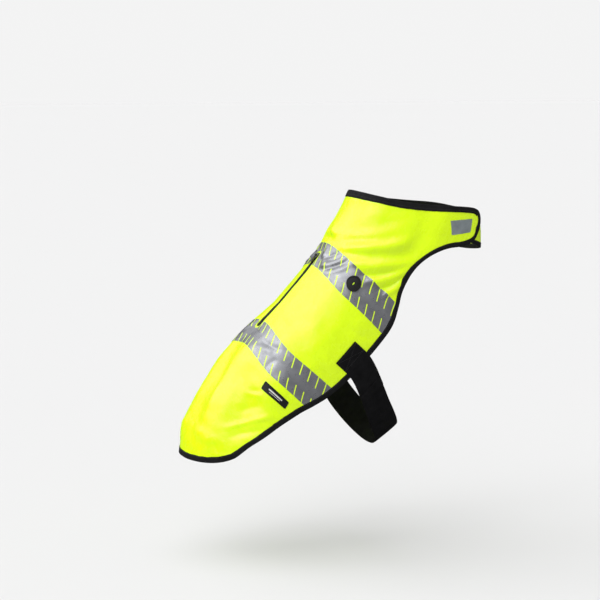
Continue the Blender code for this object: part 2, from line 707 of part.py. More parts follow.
def prism(name, outline, depth, centre, frame):
    """Mesh object of a flat outline given in (right, out), drawn out along the zip's direction."""
    curve = bpy.data.curves.new(name, "CURVE")
    curve.dimensions = "2D"
    curve.fill_mode = "BOTH"
    curve.extrude = depth / 2 * MM
    spline = curve.splines.new("POLY")
    spline.points.add(len(outline) - 1)
    for point, (across, rise) in zip(spline.points, outline):
        point.co = (across * MM, rise * MM, 0.0, 1.0)
    spline.use_cyclic_u = True
    turned = Matrix(((0, 0, 1, centre * MM), (1, 0, 0, 0), (0, 1, 0, 0), (0, 0, 0, 1)))
    return curve_to_mesh(name, curve, frame @ turned)


def curve_to_mesh(name, curve, matrix):
    """Welded mesh object of a curve, placed by a matrix."""
    holder = bpy.data.objects.new(name + "_curve", curve)
    bpy.context.scene.collection.objects.link(holder)
    graph = bpy.context.evaluated_depsgraph_get()
    mesh = bpy.data.meshes.new_from_object(holder.evaluated_get(graph))
    bpy.data.objects.remove(holder)
    shape = bmesh.new()
    shape.from_mesh(mesh)
    bmesh.ops.remove_doubles(shape, verts=shape.verts, dist=0.000001)
    bmesh.ops.recalc_face_normals(shape, faces=shape.faces)
    shape.to_mesh(mesh)
    shape.free()
    mesh.transform(matrix)
    item = bpy.data.objects.new(name, mesh)
    return item


def cylinder(name, radius, length, frame, along=0.0, height=0.0, right=0.0, sides=20):
    """Cylinder across the zip, centred at a place in the slider's frame."""
    shape = bmesh.new()
    bmesh.ops.create_cone(shape, cap_ends=True, segments=sides, radius1=radius * MM, radius2=radius * MM,
                          depth=length * MM)
    mesh = bpy.data.meshes.new(name)
    shape.to_mesh(mesh)
    shape.free()
    across = Matrix.Rotation(math.radians(90), 4, "X")
    mesh.transform(frame @ Matrix.Translation(Vector((along, right, height)) * MM) @ across)
    return bpy.data.objects.new(name, mesh)


def block(name, size, centre, frame):
    """Box in the slider's frame, sizes down the zip, to the right and out."""
    shape = bmesh.new()
    bmesh.ops.create_cube(shape, size=1.0)
    mesh = bpy.data.meshes.new(name)
    shape.to_mesh(mesh)
    shape.free()
    mesh.transform(frame @ Matrix.Translation(Vector(centre) * MM) @ Matrix.Diagonal((*[s * MM for s in size], 1)))
    return bpy.data.objects.new(name, mesh)


def combine(base, others, operation, tools):
    """Boolean of a piece with helper shapes that are kept hidden in the tools collection."""
    for other in others:
        other.hide_render = True
        other.display_type = "WIRE"
        tools.objects.link(other)
        change = base.modifiers.new(other.name, "BOOLEAN")
        change.operation = operation
        change.object = other


def zip_slider(frame, collection, tools):
    """Slider round the chain, with two ears and the pin that carries the pull."""
    outer, inner = SLIDER_HALF, SLIDER_HALF - FLANGE
    low, roof = 0.5, SLIDER_TOP - SLIDER_PLATE
    outline = [(-outer, low), (-inner, low), (-inner, roof), (inner, roof), (inner, low), (outer, low),
               (outer, SLIDER_TOP - 0.5), (outer - 0.6, SLIDER_TOP), (0.6 - outer, SLIDER_TOP),
               (-outer, SLIDER_TOP - 0.5)]
    base = prism("zip_slider", outline, SLIDER_LENGTH, 0.0, frame)
    base.data.materials.append(finish(BLACK_METAL))
    collection.objects.link(base)
    parts = [cylinder("slider_pin", PIN_RADIUS, 2 * EAR_OFFSET, frame, height=PIN_HEIGHT)]
    for side in (-1, 1):
        right = side * EAR_OFFSET
        parts.append(cylinder(f"slider_ear_{side}", EAR_RADIUS, EAR_WIDTH, frame, height=PIN_HEIGHT, right=right))
        rise = PIN_HEIGHT - SLIDER_TOP + 0.5
        parts.append(block(f"slider_ear_foot_{side}", (2 * EAR_RADIUS * 0.94, EAR_WIDTH * 0.96, rise),
                           (0.0, right, SLIDER_TOP - 0.5 + rise / 2), frame))
    combine(base, parts, "UNION", tools)
    return base


def zip_pull(frame, collection, tools):
    """Flat pull tab with an eye round the slider's pin, lying down along the zip."""
    mesh_object = cylinder("zip_pull", EYE_RADIUS, EYE_WIDTH, frame, height=PIN_HEIGHT)
    mesh_object.data.materials.append(finish(BLACK_METAL))
    collection.objects.link(mesh_object)
    neck = block("pull_neck", (PULL_NECK, EYE_WIDTH * 0.96, PULL_THICKNESS),
                 (PULL_NECK / 2 + 0.4, 0.0, PIN_HEIGHT), frame)
    body_length = PULL_LENGTH - PULL_NECK
    body = block("pull_body", (body_length, PULL_WIDTH, PULL_THICKNESS * 0.9),
                 (PULL_NECK + body_length / 2, 0.0, PIN_HEIGHT), frame)
    combine(mesh_object, [neck, body], "UNION", tools)
    combine(mesh_object, [cylinder("pull_hole", EYE_HOLE, EYE_WIDTH * 3, frame, height=PIN_HEIGHT)],
            "DIFFERENCE", tools)
    return mesh_object


def build():
    """Make every piece of the vest in its collection."""
    clear_scene()
    vest = bpy.data.collections.new("safety_vest")
    tools = bpy.data.collections.new("tools")
    for collection in (vest, tools):
        bpy.context.scene.collection.children.link(collection)
    cloth = Cloth()
    everything = np.ones(len(cloth.faces), bool)
    skin("back_panel", cloth, everything, 0.0, WALL, FLUORESCENT, vest)
    count = len(cloth.edge_ids)
    neck = [*range(cloth.neck_end, count), *range(0, cloth.neck_start + 1)]
    binding("neck_binding", cloth, neck, BLACK_BINDING, vest)
    binding("edge_binding", cloth, list(range(cloth.neck_start, cloth.neck_end + 1)), BLACK_BINDING, vest)
    for tape in TAPES:
        skin(tape[0], cloth, cloth.on_tape(tape), WALL + GAP, TAPE, SILVER_TAPE, vest)
    chest = inside(cloth.middle, np.array(CHEST_TAPE, float))
    skin("chest_tape", cloth, chest, WALL + GAP, TRIM, GREY_TAPE, vest)
    skin("label", cloth, inside(cloth.middle, cloth.label), WALL + GAP, TRIM, BLACK_RUBBER, vest)
    skin("badge", cloth, inside(cloth.middle, cloth.badge), WALL + TAPE + 2 * GAP, BADGE, BLACK_RUBBER, vest)
    strap_tab(cloth, vest)
    belly_strap(cloth, vest)
    loft("zip_chain", zip_sections(cloth), ([0, 1, 2, 3, 6, 7], [3, 4, 5, 6]), BLACK_COIL, vest)
    frame = zip_frame()
    zip_slider(frame, vest, tools)
    zip_pull(frame, vest, tools)


build()
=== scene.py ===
"""Worn reflective safety vest: cloth panel, bindings, tapes, zip, badge, label, sewn tab and belly strap.

A place on the cloth is (along, around): along runs down the centre back from the neck edge, around runs
round the figure from the centre back and is negative on the wearer's right. Tables and sizes are
millimetres, and MM turns them into metres. Heights are measured outwards from the inner face of the
packed panel.
"""
import logging
import math
from dataclasses import dataclass, field
from enum import Enum

import bpy
import numpy as np
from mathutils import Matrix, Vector
from mathutils.geometry import delaunay_2d_cdt


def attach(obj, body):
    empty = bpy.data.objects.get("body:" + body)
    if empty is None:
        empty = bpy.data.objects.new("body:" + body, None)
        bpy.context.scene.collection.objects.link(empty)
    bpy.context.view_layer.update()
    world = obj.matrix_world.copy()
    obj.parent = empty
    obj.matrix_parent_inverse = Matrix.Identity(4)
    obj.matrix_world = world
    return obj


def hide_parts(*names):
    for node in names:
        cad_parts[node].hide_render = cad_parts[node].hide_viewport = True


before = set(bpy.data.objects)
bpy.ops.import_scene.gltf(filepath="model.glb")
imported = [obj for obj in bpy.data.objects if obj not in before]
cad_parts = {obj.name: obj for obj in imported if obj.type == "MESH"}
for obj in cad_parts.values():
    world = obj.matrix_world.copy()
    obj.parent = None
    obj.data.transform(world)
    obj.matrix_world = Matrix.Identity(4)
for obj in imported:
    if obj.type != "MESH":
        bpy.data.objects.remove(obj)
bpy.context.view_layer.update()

LOG = logging.getLogger("safety_vest")
MM = 0.001
BODY = "garment"

# How far a table's curve may run past its ends, and the rows of a triangular grid as a share of its step
TABLE_REACH = 20.0
GRID_ROW = 0.866

# Distance at which two corners are one, distance at which a place is on a line, and places compared at a time
SAME_CORNER = 0.001
ON_LINE = 0.01
PLACES_AT_ONCE = 2000

# Angle in degrees at which the shading of an edge turns sharp
SHARP_ANGLE = 50

# General figure under the cloth, a row for each girth: belly deepens the lower half, and sweep bends it to
# the rear
FIGURE_ROWS = (
    # along, x, z, lean, depth, half_width, sweep, belly
    (0, 59, 104, 9, 240, 80, 0, 0),
    (52, 34, 58, 12, 272, 90, 0, 0),
    (80, 19, 35, 26, 284, 100, 3, 10),
    (105, 8, 12, 40, 284, 107, 10, 20),
    (152, -19, -24, 44, 275, 112, 14, 35),
    (227, -70, -81, 45, 265, 113, 18, 48),
    (283, -109, -121, 46, 255, 112, 20, 48),
    (328, -141, -153, 47, 250, 112, 20, 42),
    (391, -180, -203, 40, 250, 114, 16, 25),
    (461, -221, -259, 28, 250, 115, 8, 10),
    (518, -250, -310, 15, 245, 112, 0, 0),
    (557, -259, -350, 6, 240, 108, 0, 0),
)

# Cut edge of the right side from the neck to the hem's centre, rows of (along, around)
NECK_EDGE = ((3, -60), (6.5, -120), (4, -180), (0.5, -235))
LAP_END = ((2, -260), (8, -272), (20, -280), (37, -283), (49, -277))
ARMHOLE = ((55, -257), (60, -226), (67, -205), (76, -192), (87, -186), (98, -188.5), (110, -199.5),
           (126, -209.5), (147, -214.5), (172, -216))
STRAP_EDGE = ((197, -216), (245, -215))
SIDE_EDGE = ((289, -209.5), (317, -201.5), (351, -188), (403, -171), (458, -158), (508, -144))
HEM_EDGE = ((538, -126.5), (553, -102), (559.5, -68))
HEM_CENTRE = (561, 0)

# Left lap under the right one, rows of (along, past the centre front)
UNDERLAP_LOWER = ((56, -50), (54, 20), (52, 80))
UNDERLAP_END = ((50, 104), (45, 119), (36, 127), (25, 127), (14, 119), (7, 104))
UNDERLAP_NECK = ((4, 60), (3, 0), (2, -50))

# Route of the strap past the cut edge, rows of (around, along) of its middle
STRAP_ROUTE = ((178, 221), (218, 221), (240, 226), (264, 234), (284, 240), (302, 245), (329, 250), (360, 254),
               (400, 257), (437, 258))

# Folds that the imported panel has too: two ends, sideways bow, height (a trough is negative) and half width
MAIN_FOLDS = (
    # along_1, around_1, along_2, around_2, bow, height, width
    (70, -30, 46, -120, 3, -2.2, 9),
    (94, -32, 92, 34, 0, -4.2, 7),
    (84, -34, 82, 30, 0, 2.6, 6),
    (90, 52, 66, 148, 2, 3.0, 7),
    (101, 44, 78, 160, 3, -3.2, 6.5),
    (106, 70, 86, 172, 2, 2.4, 6),
    (72, 34, 48, 128, 3, -2.4, 9),
    (118, -16, 148, -62, 5, 2.6, 8),
    (122, 18, 150, 60, -5, 2.4, 8),
    (318, 2, 492, -44, -8, 3.2, 10),
    (350, 44, 500, 72, 10, 2.6, 12),
    (372, -92, 470, -118, 6, -2.4, 12),
    (384, -60, 505, -92, 6, 2.2, 14),
    (380, 96, 486, 122, -6, -2.4, 13),
    (176, -64, 262, -150, 6, 1.8, 16),
    (170, 70, 255, 160, -6, 1.8, 16),
    (236, 48, 560, 50, 0, 9.5, 32),
    (236, -48, 560, -50, 0, 5.0, 30),
    (502, -16, 520, -84, 4, 2.0, 10),
    (500, 20, 518, 80, -4, 2.0, 10),
)

# Finer wrinkles of the cloth, in the same columns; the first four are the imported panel's, set more exactly
FINE_FOLDS = (
    (90, -40, 57, -146, -1, -2.6, 5.5),
    (101, -48, 63, -160, -1, 3.8, 5.0),
    (109, -78, 77, -186, -1, 4.0, 4.6),
    (112, -106, 80, -182, -1, -3.4, 4.0),
    (100, -62, 69, -182, -1, -3.6, 5.5),
    (115, -124, 83, -182, -1, 4.0, 4.0),
    (115, -146, 87, -180, 0, -3.2, 3.6),
    (115, -164, 92, -182, 0, 3.2, 3.4),
    (70, -96, 50, -176, 2, 1.0, 6.0),
    (48, -60, 38, -140, 2, -1.0, 8.0),
    (66, 26, 92, -18, 3, -1.8, 5.0),
    (144, -16, 98, -56, 4, -1.9, 3.2),
    (154, -30, 100, -74, 4, 2.1, 3.6),
    (156, -42, 104, -80, 3, -1.7, 3.2),
    (158, -54, 106, -88, 3, 1.8, 4.0),
    (108, -8, 134, -26, -5, 1.5, 3.0),
    (126, 10, 112, 38, 2, 1.5, 2.8),
    (144, 14, 124, 66, -3, -1.5, 3.4),
    (112, 92, 98, 168, -1, 1.1, 3.5),
    (94, 60, 82, 118, -1, -1.3, 3.6),
    (312, -50, 292, -94, 2, -1.5, 4.4),
    (306, -100, 340, -94, 3, -1.2, 5.0),
    (330, -40, 306, -84, 2, 1.2, 5.5),
    (292, -8, 306, -40, 2, 1.2, 3.6),
    (290, 12, 312, 44, -2, 1.2, 3.8),
    (322, -30, 528, -62, 4, 3.4, 15.0),
    (350, -66, 486, -88, 2, -2.4, 13.0),
    (384, -108, 540, -112, 0, -5.0, 26.0),
    (486, -86, 400, -148, 3, 3.0, 5.4),
    (444, -84, 388, -126, 2, -2.0, 9.0),
    (502, -102, 436, -150, 3, -2.0, 8.0),
    (400, -84, 376, -116, 1, 1.6, 4.0),
    (388, -92, 372, -108, 1, -1.4, 3.6),
    (516, -66, 540, -78, 1, 1.0, 3.6),
    (520, -82, 541, -94, 1, -1.0, 3.4),
    (514, -50, 542, -58, 1, -0.9, 3.6),
    (512, -96, 532, -108, 1, 0.9, 3.4),
    (520, -30, 544, -36, 1, 0.9, 4.0),
    (516, 40, 542, 46, 1, 0.9, 3.8),
    (514, 66, 538, 78, 1, -0.9, 3.6),
    (248, -150, 262, -204, 2, 1.1, 5.0),
    (190, -140, 176, -200, 2, -1.0, 6.0),
)


class Side(Enum):
    """Side of the wearer."""

    RIGHT = -1
    LEFT = 1


class Unit(Enum):
    """Shape that a row of points carries."""

    THREAD = "thread"
    COIL = "coil"


def unit(vectors: np.ndarray) -> np.ndarray:
    """Vectors of length one."""
    return vectors / np.maximum(np.linalg.norm(vectors, axis=-1, keepdims=True), 1e-9)


def run_along(line: np.ndarray) -> np.ndarray:
    """Length of a line up to each of its points."""
    return np.concatenate([[0.0], np.cumsum(np.linalg.norm(np.diff(line, axis=0), axis=1))])


def looped(line: np.ndarray) -> np.ndarray:
    """Closed line with its first point again at the end."""
    return np.vstack([line, line[:1]])


def crosswise(line: np.ndarray) -> np.ndarray:
    """Directions of length one across a closed line at its points."""
    ahead = np.roll(line, -1, axis=0) - np.roll(line, 1, axis=0)
    return unit(np.stack([-ahead[:, 1], ahead[:, 0]], axis=1))


def smooth_step(value: np.ndarray, start: float, end: float) -> np.ndarray:
    """Eases from 0 at start to 1 at end."""
    t = np.clip((value - start) / (end - start), 0, 1)
    return t * t * (3 - 2 * t)


def signed_power(value: np.ndarray, exponent: float) -> np.ndarray:
    """Power that keeps the sign of its base."""
    return np.sign(value) * np.abs(value) ** exponent


def smooth_rows(rows: tuple, at: np.ndarray) -> np.ndarray:
    """Smooth curve through a table whose first column rises.

    Args:
        rows: the table.
        at: values of the first column.

    Returns:
        The other columns there.
    """
    table = np.array(rows, float)
    key, values = table[:, 0], table[:, 1:]
    slope = np.gradient(values, key, axis=0)
    at = np.clip(at, key[0] - TABLE_REACH, key[-1] + TABLE_REACH)
    i = np.clip(np.searchsorted(key, at) - 1, 0, len(key) - 2)
    span = (key[i + 1] - key[i])[:, None]
    t = (at - key[i])[:, None] / span
    rise = 3 * t**2 - 2 * t**3
    return (values[i] * (1 - rise) + values[i + 1] * rise
            + span * (slope[i] * (t - 2 * t**2 + t**3) + slope[i + 1] * (t**3 - t**2)))


def catmull_rom(before: np.ndarray, start: np.ndarray, end: np.ndarray, after: np.ndarray,
                t: float) -> np.ndarray:
    """Point on a smooth curve through a line's corners.

    Args:
        before, start, end, after: four corners in order.
        t: share of the way from start to end.

    Returns:
        The point.
    """
    span = np.linalg.norm(end - start)
    leave = (end - before) / (np.linalg.norm(start - before) + span) * span
    arrive = (after - start) / (np.linalg.norm(after - end) + span) * span
    rise = 3 * t**2 - 2 * t**3
    return start * (1 - rise) + end * rise + leave * (t - 2 * t**2 + t**3) + arrive * (t**3 - t**2)


def inside(points: np.ndarray, outline: np.ndarray) -> np.ndarray:
    """Which points lie inside a closed outline.

    Args:
        points: places on the cloth.
        outline: corners in order.

    Returns:
        One truth value for each point.
    """
    hit = np.zeros(len(points), bool)
    for (a1, r1), (a2, r2) in zip(outline, np.roll(outline, -1, axis=0)):
        if a1 != a2:
            crosses = (points[:, 0] < a1) != (points[:, 0] < a2)
            at = r1 + (points[:, 0] - a1) * (r2 - r1) / (a2 - a1)
            hit ^= crosses & (points[:, 1] < at)
    return hit


def evenly(line: np.ndarray, step: float, closed: bool = False) -> np.ndarray:
    """Points at even steps along a line of places.

    Args:
        line: corners in order.
        step: distance between points.
        closed: whether the line ends where it starts.

    Returns:
        The points, with both ends of an open line.
    """
    line = looped(line) if closed else np.asarray(line, float)
    run = run_along(line)
    count = max(2, round(run[-1] / step))
    at = np.arange(count) * run[-1] / count if closed else np.linspace(0, run[-1], count + 1)
    return np.stack([np.interp(at, run, line[:, k]) for k in range(line.shape[1])], axis=1)


def rounded_box(centre: tuple[float, float], size: tuple[float, float], corner: float,
                step: float) -> np.ndarray:
    """Rectangle with round corners.

    Args:
        centre: its middle as (along, around).
        size: its lengths along and around.
        corner: the corners' radius.
        step: distance between points.

    Returns:
        Its outline.
    """
    points = []
    for turn, (sign_a, sign_r) in enumerate(((1, 1), (1, -1), (-1, -1), (-1, 1))):
        middle = (centre[0] + sign_a * (size[0] / 2 - corner), centre[1] + sign_r * (size[1] / 2 - corner))
        start = (math.pi / 2, 0, -math.pi / 2, math.pi)[turn]
        for t in np.linspace(0, 1, 7):
            angle = start - t * math.pi / 2
            points.append((middle[0] + corner * math.cos(angle), middle[1] + corner * math.sin(angle)))
    return evenly(np.array(points), step, closed=True)


def lattice(low: np.ndarray, high: np.ndarray, step: float) -> np.ndarray:
    """Even triangular grid of places between two corners.

    Args:
        low, high: the area's corners.
        step: distance between neighbours.

    Returns:
        The places.
    """
    rows = np.arange(low[0], high[0], step * GRID_ROW)
    return np.array([(along, around) for i, along in enumerate(rows)
                     for around in np.arange(low[1] + step / 2 * (i % 2), high[1], step)])


def away_from(places: np.ndarray, lines: np.ndarray, apart: float) -> np.ndarray:
    """The places that keep their distance from all points of lines.

    Args:
        places: places to thin out.
        lines: points to keep away from.
        apart: least distance.

    Returns:
        The places that stay.
    """
    kept = []
    for part in np.array_split(places, max(1, len(places) // PLACES_AT_ONCE)):
        gap = np.hypot(part[:, None, 0] - lines[None, :, 0], part[:, None, 1] - lines[None, :, 1])
        kept.append(part[gap.min(axis=1) > apart])
    return np.concatenate(kept)


def triangulate(closed: list[np.ndarray], open_lines: list[np.ndarray], spare: np.ndarray) -> tuple:
    """Triangles between lines and spare points.

    Args:
        closed: closed lines of places.
        open_lines: open lines of places.
        spare: other places.

    Returns:
        The places, and the triangles as numbers of places.
    """
    points: list = []
    edges: list = []
    for line in [*closed, *open_lines]:
        first = len(points)
        points += [tuple(place) for place in line]
        edges += [(i, i + 1) for i in range(first, len(points) - 1)]
        if any(line is other for other in closed):
            edges.append((len(points) - 1, first))
    flat = [Vector((around, along)) for along, around in [*points, *spare.tolist()]]
    corners, _, faces, *_ = delaunay_2d_cdt(flat, edges, [], 0, SAME_CORNER, False)
    return np.array([(corner.y, corner.x) for corner in corners]), np.array([list(face) for face in faces])


def filled(outline: np.ndarray, step: float, apart: float, rims: tuple = ()) -> tuple:
    """Triangles that fill a closed outline evenly.

    Args:
        outline: the outline.
        step: distance between the points inside it.
        apart: their least distance from the outline.
        rims: closed lines round the outline, which are joined to it too.

    Returns:
        The places, and the triangles as numbers of places.
    """
    grid = lattice(outline.min(axis=0), outline.max(axis=0), step)
    grid = away_from(grid[inside(grid, outline)], outline, apart)
    return triangulate([*rims, outline], [], grid)


@dataclass(frozen=True)
class Ripple:
    """Even unevenness of cloth, made of plane waves that are the same on every run."""

    length: float
    height: float
    seed: int
    waves: int = 18
    spread: tuple[float, float] = (0.75, 1.35)

    def at(self, along: np.ndarray, around: np.ndarray) -> np.ndarray:
        """Height at places on the cloth.

        Args:
            along, around: the places.

        Returns:
            One height for each place.
        """
        chance = np.random.default_rng(self.seed)
        total = np.zeros(len(along))
        for _ in range(self.waves):
            turn, phase = chance.uniform(0, 2 * math.pi, 2)
            pitch = self.length * chance.uniform(*self.spread)
            run = (along * math.cos(turn) + around * math.sin(turn)) * 2 * math.pi / pitch
            total += np.sin(run + phase)
        return total * self.height / math.sqrt(self.waves / 2)


@dataclass
class Figure:
    """General figure that the cloth is worn on, as an even grid of its surface."""

    squareness: float = 2.3
    sweep_pace: float = 1.5
    steps: int = 361
    seat_along: float = 120.0
    grid: float = 2.0
    low: tuple[float, float] = (-18.0, -470.0)
    high: tuple[float, float] = (576.0, 590.0)
    surface: np.ndarray = field(init=False)

    def __post_init__(self) -> None:
        """Lay out the grid of points and normals."""
        along = np.arange(self.low[0], self.high[0] + self.grid, self.grid)
        around = np.arange(self.low[1], self.high[1] + self.grid, self.grid)
        x, z, side, girth = self.sections(along)
        points = np.empty((len(along), len(around), 3))
        for row in range(len(along)):
            half = girth[row, -1]
            past = np.abs(around) > half
            reach = np.where(past, 2 * half - np.abs(around), np.abs(around))
            points[row] = np.stack([np.interp(reach, girth[row], line[row]) for line in (x, side, z)], axis=1)
            points[row, :, 1] *= np.where(past, -1, 1) * np.where(around < 0, -1, 1)
        down, round_it = np.gradient(points, axis=(0, 1))
        seat = self.seat()
        self.surface = np.concatenate([points - seat, unit(np.cross(round_it, down))], axis=2)

    def seat(self) -> np.ndarray:
        """Point of the figure at the withers."""
        x, z, side, _ = self.sections(np.array([self.seat_along]))
        return np.array([x[0, 0], side[0, 0], z[0, 0]])

    def sections(self, along: np.ndarray) -> tuple:
        """Girth lines from the back to the underside.

        Args:
            along: places down the back.

        Returns:
            x, z, side and the girth so far, a row for each place.
        """
        x, z, lean, depth, half_width, sweep, belly = smooth_rows(FIGURE_ROWS, along).T[:, :, None]
        turn = np.linspace(0, math.pi, self.steps)[None]
        rise = signed_power(np.cos(turn), 2 / self.squareness)
        down = (1 - rise) / 2 * depth + np.maximum(-rise, 0) * belly
        side = signed_power(np.sin(turn), 2 / self.squareness) * half_width
        back = sweep * np.sin(np.minimum(turn * self.sweep_pace, math.pi / 2)) ** 2
        lean = np.radians(lean)
        steps = np.hypot(np.diff(down, axis=1), np.diff(side, axis=1))
        girth = np.concatenate([np.zeros((len(along), 1)), np.cumsum(steps, axis=1)], axis=1)
        return (x + down * np.cos(lean) - back * np.sin(lean), z - down * np.sin(lean) - back * np.cos(lean),
                side, girth)

    def half_girth(self, along: float) -> float:
        """Cloth length from the centre back to the centre front at one place along."""
        return float(self.sections(np.array([float(along)]))[3][0, -1])

    def at(self, along: np.ndarray, around: np.ndarray) -> tuple[np.ndarray, np.ndarray]:
        """Points and normals of the bare figure.

        Args:
            along, around: places.

        Returns:
            The points, and their outward normals.
        """
        rows, columns = self.surface.shape[:2]
        u = np.clip((along - self.low[0]) / self.grid, 0, rows - 1.001)
        v = np.clip((around - self.low[1]) / self.grid, 0, columns - 1.001)
        i, j = u.astype(int), v.astype(int)
        s, t = (u - i)[:, None], (v - j)[:, None]
        grid = self.surface
        mixed = ((grid[i, j] * (1 - t) + grid[i, j + 1] * t) * (1 - s)
                 + (grid[i + 1, j] * (1 - t) + grid[i + 1, j + 1] * t) * s)
        return mixed[:, :3], unit(mixed[:, 3:])


@dataclass
class WornCloth:
    """The cloth's form on the figure: its folds, the lap's lift and its small unevenness."""

    figure: Figure
    lap_lift: float = 5.6
    lift_around: tuple[float, float] = (160, 205)
    lift_along: tuple[float, float] = (-88, -60)
    lap_flare: float = 1.5
    flare_around: tuple[float, float] = (245, 290)
    flare_along: tuple[float, float] = (-70, -50)
    slack: tuple[Ripple, ...] = (Ripple(78, 0.5, 3), Ripple(31, 0.12, 5))
    pucker: Ripple = Ripple(13, 0.12, 8)
    pucker_width: float = 9.0
    folds: tuple = MAIN_FOLDS
    fine_folds: tuple = FINE_FOLDS
    calm_rim: tuple[float, float] = (4.0, 14.0)
    calm_sides: tuple[float, float] = (150, 182)
    tape_edges: tuple[float, ...] = (105, 155, 286, 338)
    probe: float = 0.8

    def height(self, along: np.ndarray, around: np.ndarray) -> np.ndarray:
        """How far the cloth stands off the figure.

        Args:
            along, around: places.

        Returns:
            One height for each place.
        """
        total = sum(self.fold(along, around, row, 2) for row in self.folds)
        fine = sum(self.fold(along, around, row, 4) for row in self.fine_folds)
        rim = -np.interp(along, *np.transpose(ARMHOLE))
        total += fine * smooth_step(rim - np.abs(around), *self.calm_rim)
        return total + self.lap(along, around) + self.unevenness(along, around)

    def lap(self, along: np.ndarray, around: np.ndarray) -> np.ndarray:
        """How far the right lap is lifted by the left one, and how far its end stands out.

        Args:
            along, around: places.

        Returns:
            One height for each place.
        """
        lift = smooth_step(-around, *self.lift_around) * smooth_step(-along, *self.lift_along)
        flare = smooth_step(-around, *self.flare_around) * smooth_step(-along, *self.flare_along)
        return self.lap_lift * lift + self.lap_flare * flare

    def fold(self, along: np.ndarray, around: np.ndarray, row: tuple, fullness: int) -> np.ndarray:
        """Height of one fold.

        Args:
            along, around: places.
            row: the fold's row in the tables above.
            fullness: how long the fold keeps its height towards its ends, even and 2 or more.

        Returns:
            One height for each place.
        """
        along_1, around_1, along_2, around_2, bow, height, width = row
        run = np.array([along_2 - along_1, around_2 - around_1], float)
        length = np.linalg.norm(run)
        run = run / length
        ahead, across = along - along_1, around - around_1
        t = np.clip((ahead * run[0] + across * run[1]) / length, 0, 1)
        side = across * run[0] - ahead * run[1] - bow * 4 * t * (1 - t)
        return height * (1 - (2 * t - 1) ** fullness) * np.exp(-(side / width) ** 2)

    def unevenness(self, along: np.ndarray, around: np.ndarray) -> np.ndarray:
        """Slack all over the cloth, and puckers beside the tapes' seams.

        Args:
            along, around: places.

        Returns:
            One height for each place.
        """
        calm = 1 - smooth_step(np.abs(around), *self.calm_sides)
        seams = sum(np.exp(-((along - edge) / self.pucker_width) ** 2) for edge in self.tape_edges)
        slack = sum(ripple.at(along, around) for ripple in self.slack)
        return calm * (slack + np.minimum(seams, 1) * self.pucker.at(along, around))

    def inner(self, along: np.ndarray, around: np.ndarray) -> np.ndarray:
        """Points of the cloth's inner face, millimetres."""
        points, normals = self.figure.at(along, around)
        return points + normals * self.height(along, around)[:, None]

    def at(self, places: np.ndarray, out: np.ndarray | float = 0.0) -> tuple[np.ndarray, np.ndarray]:
        """Points at a height over the cloth's inner face.

        Args:
            places: rows of (along, around).
            out: height, one for all or one each.

        Returns:
            The points, and the cloth's outward normals.
        """
        along, around = np.asarray(places, float).T
        down = self.inner(along + self.probe, around) - self.inner(along - self.probe, around)
        round_it = self.inner(along, around + self.probe) - self.inner(along, around - self.probe)
        normal = unit(np.cross(round_it, down))
        height = np.broadcast_to(np.asarray(out, float), along.shape)
        return self.inner(along, around) + normal * height[:, None], normal


@dataclass
class CutPattern:
    """The panel's flat cut."""

    cloth: WornCloth
    step: float = 3.4
    edge: np.ndarray = field(init=False)
    neck_start: int = field(init=False)
    neck_end: int = field(init=False)

    def __post_init__(self) -> None:
        """Draw the closed edge as one smooth line, and find the upper corners of the laps."""
        below = ARMHOLE + STRAP_EDGE + SIDE_EDGE + HEM_EDGE
        right = NECK_EDGE + LAP_END + below
        mirrored = [(along, -around) for along, around in reversed(below)]
        neck = [(along, -around) for along, around in reversed(NECK_EDGE)]
        lap = [(along, self.cloth.figure.half_girth(along) + past)
               for along, past in UNDERLAP_LOWER + UNDERLAP_END + UNDERLAP_NECK]
        rows = np.array([(0.0, 0.0), *right, HEM_CENTRE, *mirrored, *lap, *neck], float)
        right_corner = len(NECK_EDGE) + 2
        left_corner = len(right) + len(mirrored) + len(UNDERLAP_LOWER) + 5
        first: list = []
        made: list = []
        for i in range(len(rows)):
            first.append(len(made))
            before, start, end, after = (rows[(i + k) % len(rows)] for k in (-1, 0, 1, 2))
            count = max(1, round(float(np.linalg.norm(end - start)) / self.step))
            made += [catmull_rom(before, start, end, after, t) for t in np.arange(count) / count]
        self.edge = np.array(made)
        self.neck_start, self.neck_end = first[right_corner], first[left_corner]

    def inward(self, spread: int = 3) -> np.ndarray:
        """Directions into the panel at the edge's points, one millimetre long on the worn cloth.

        Args:
            spread: how many neighbours on each side they are evened over.

        Returns:
            One direction for each point.
        """
        straight = crosswise(self.edge)
        evened = unit(sum(np.roll(straight, k, axis=0) for k in range(-spread, spread + 1)))
        here = self.cloth.figure.at(*self.edge.T)[0]
        there = self.cloth.figure.at(*(self.edge + evened).T)[0]
        return evened / np.linalg.norm(there - here, axis=1)[:, None]

    def moved_in(self, depth: float) -> np.ndarray:
        """The edge moved into the panel by a depth."""
        return self.edge + self.inward() * depth

    def size(self) -> tuple[float, float]:
        """Width and length of the rectangle round the cut, in metres."""
        spread = np.ptp(self.edge, axis=0) * MM
        return float(spread[1]), float(spread[0])


def add_object(name: str, data: bpy.types.ID) -> bpy.types.Object:
    """New object in the scene.

    Args:
        name: its name.
        data: its data.

    Returns:
        The object.
    """
    item = bpy.data.objects.new(name, data)
    bpy.context.scene.collection.objects.link(item)
    return item


def fill_uv(mesh: bpy.types.Mesh, places: np.ndarray) -> None:
    """Give a mesh a UV map from one place for each of its points.

    Args:
        mesh: the mesh.
        places: rows of (u, v) in metres.
    """
    corner = np.empty(len(mesh.loops), np.int32)
    mesh.loops.foreach_get("vertex_index", corner)
    layer = mesh.uv_layers.new(name="UVMap")
    layer.data.foreach_set("uv", places[corner].astype(np.float32).ravel())


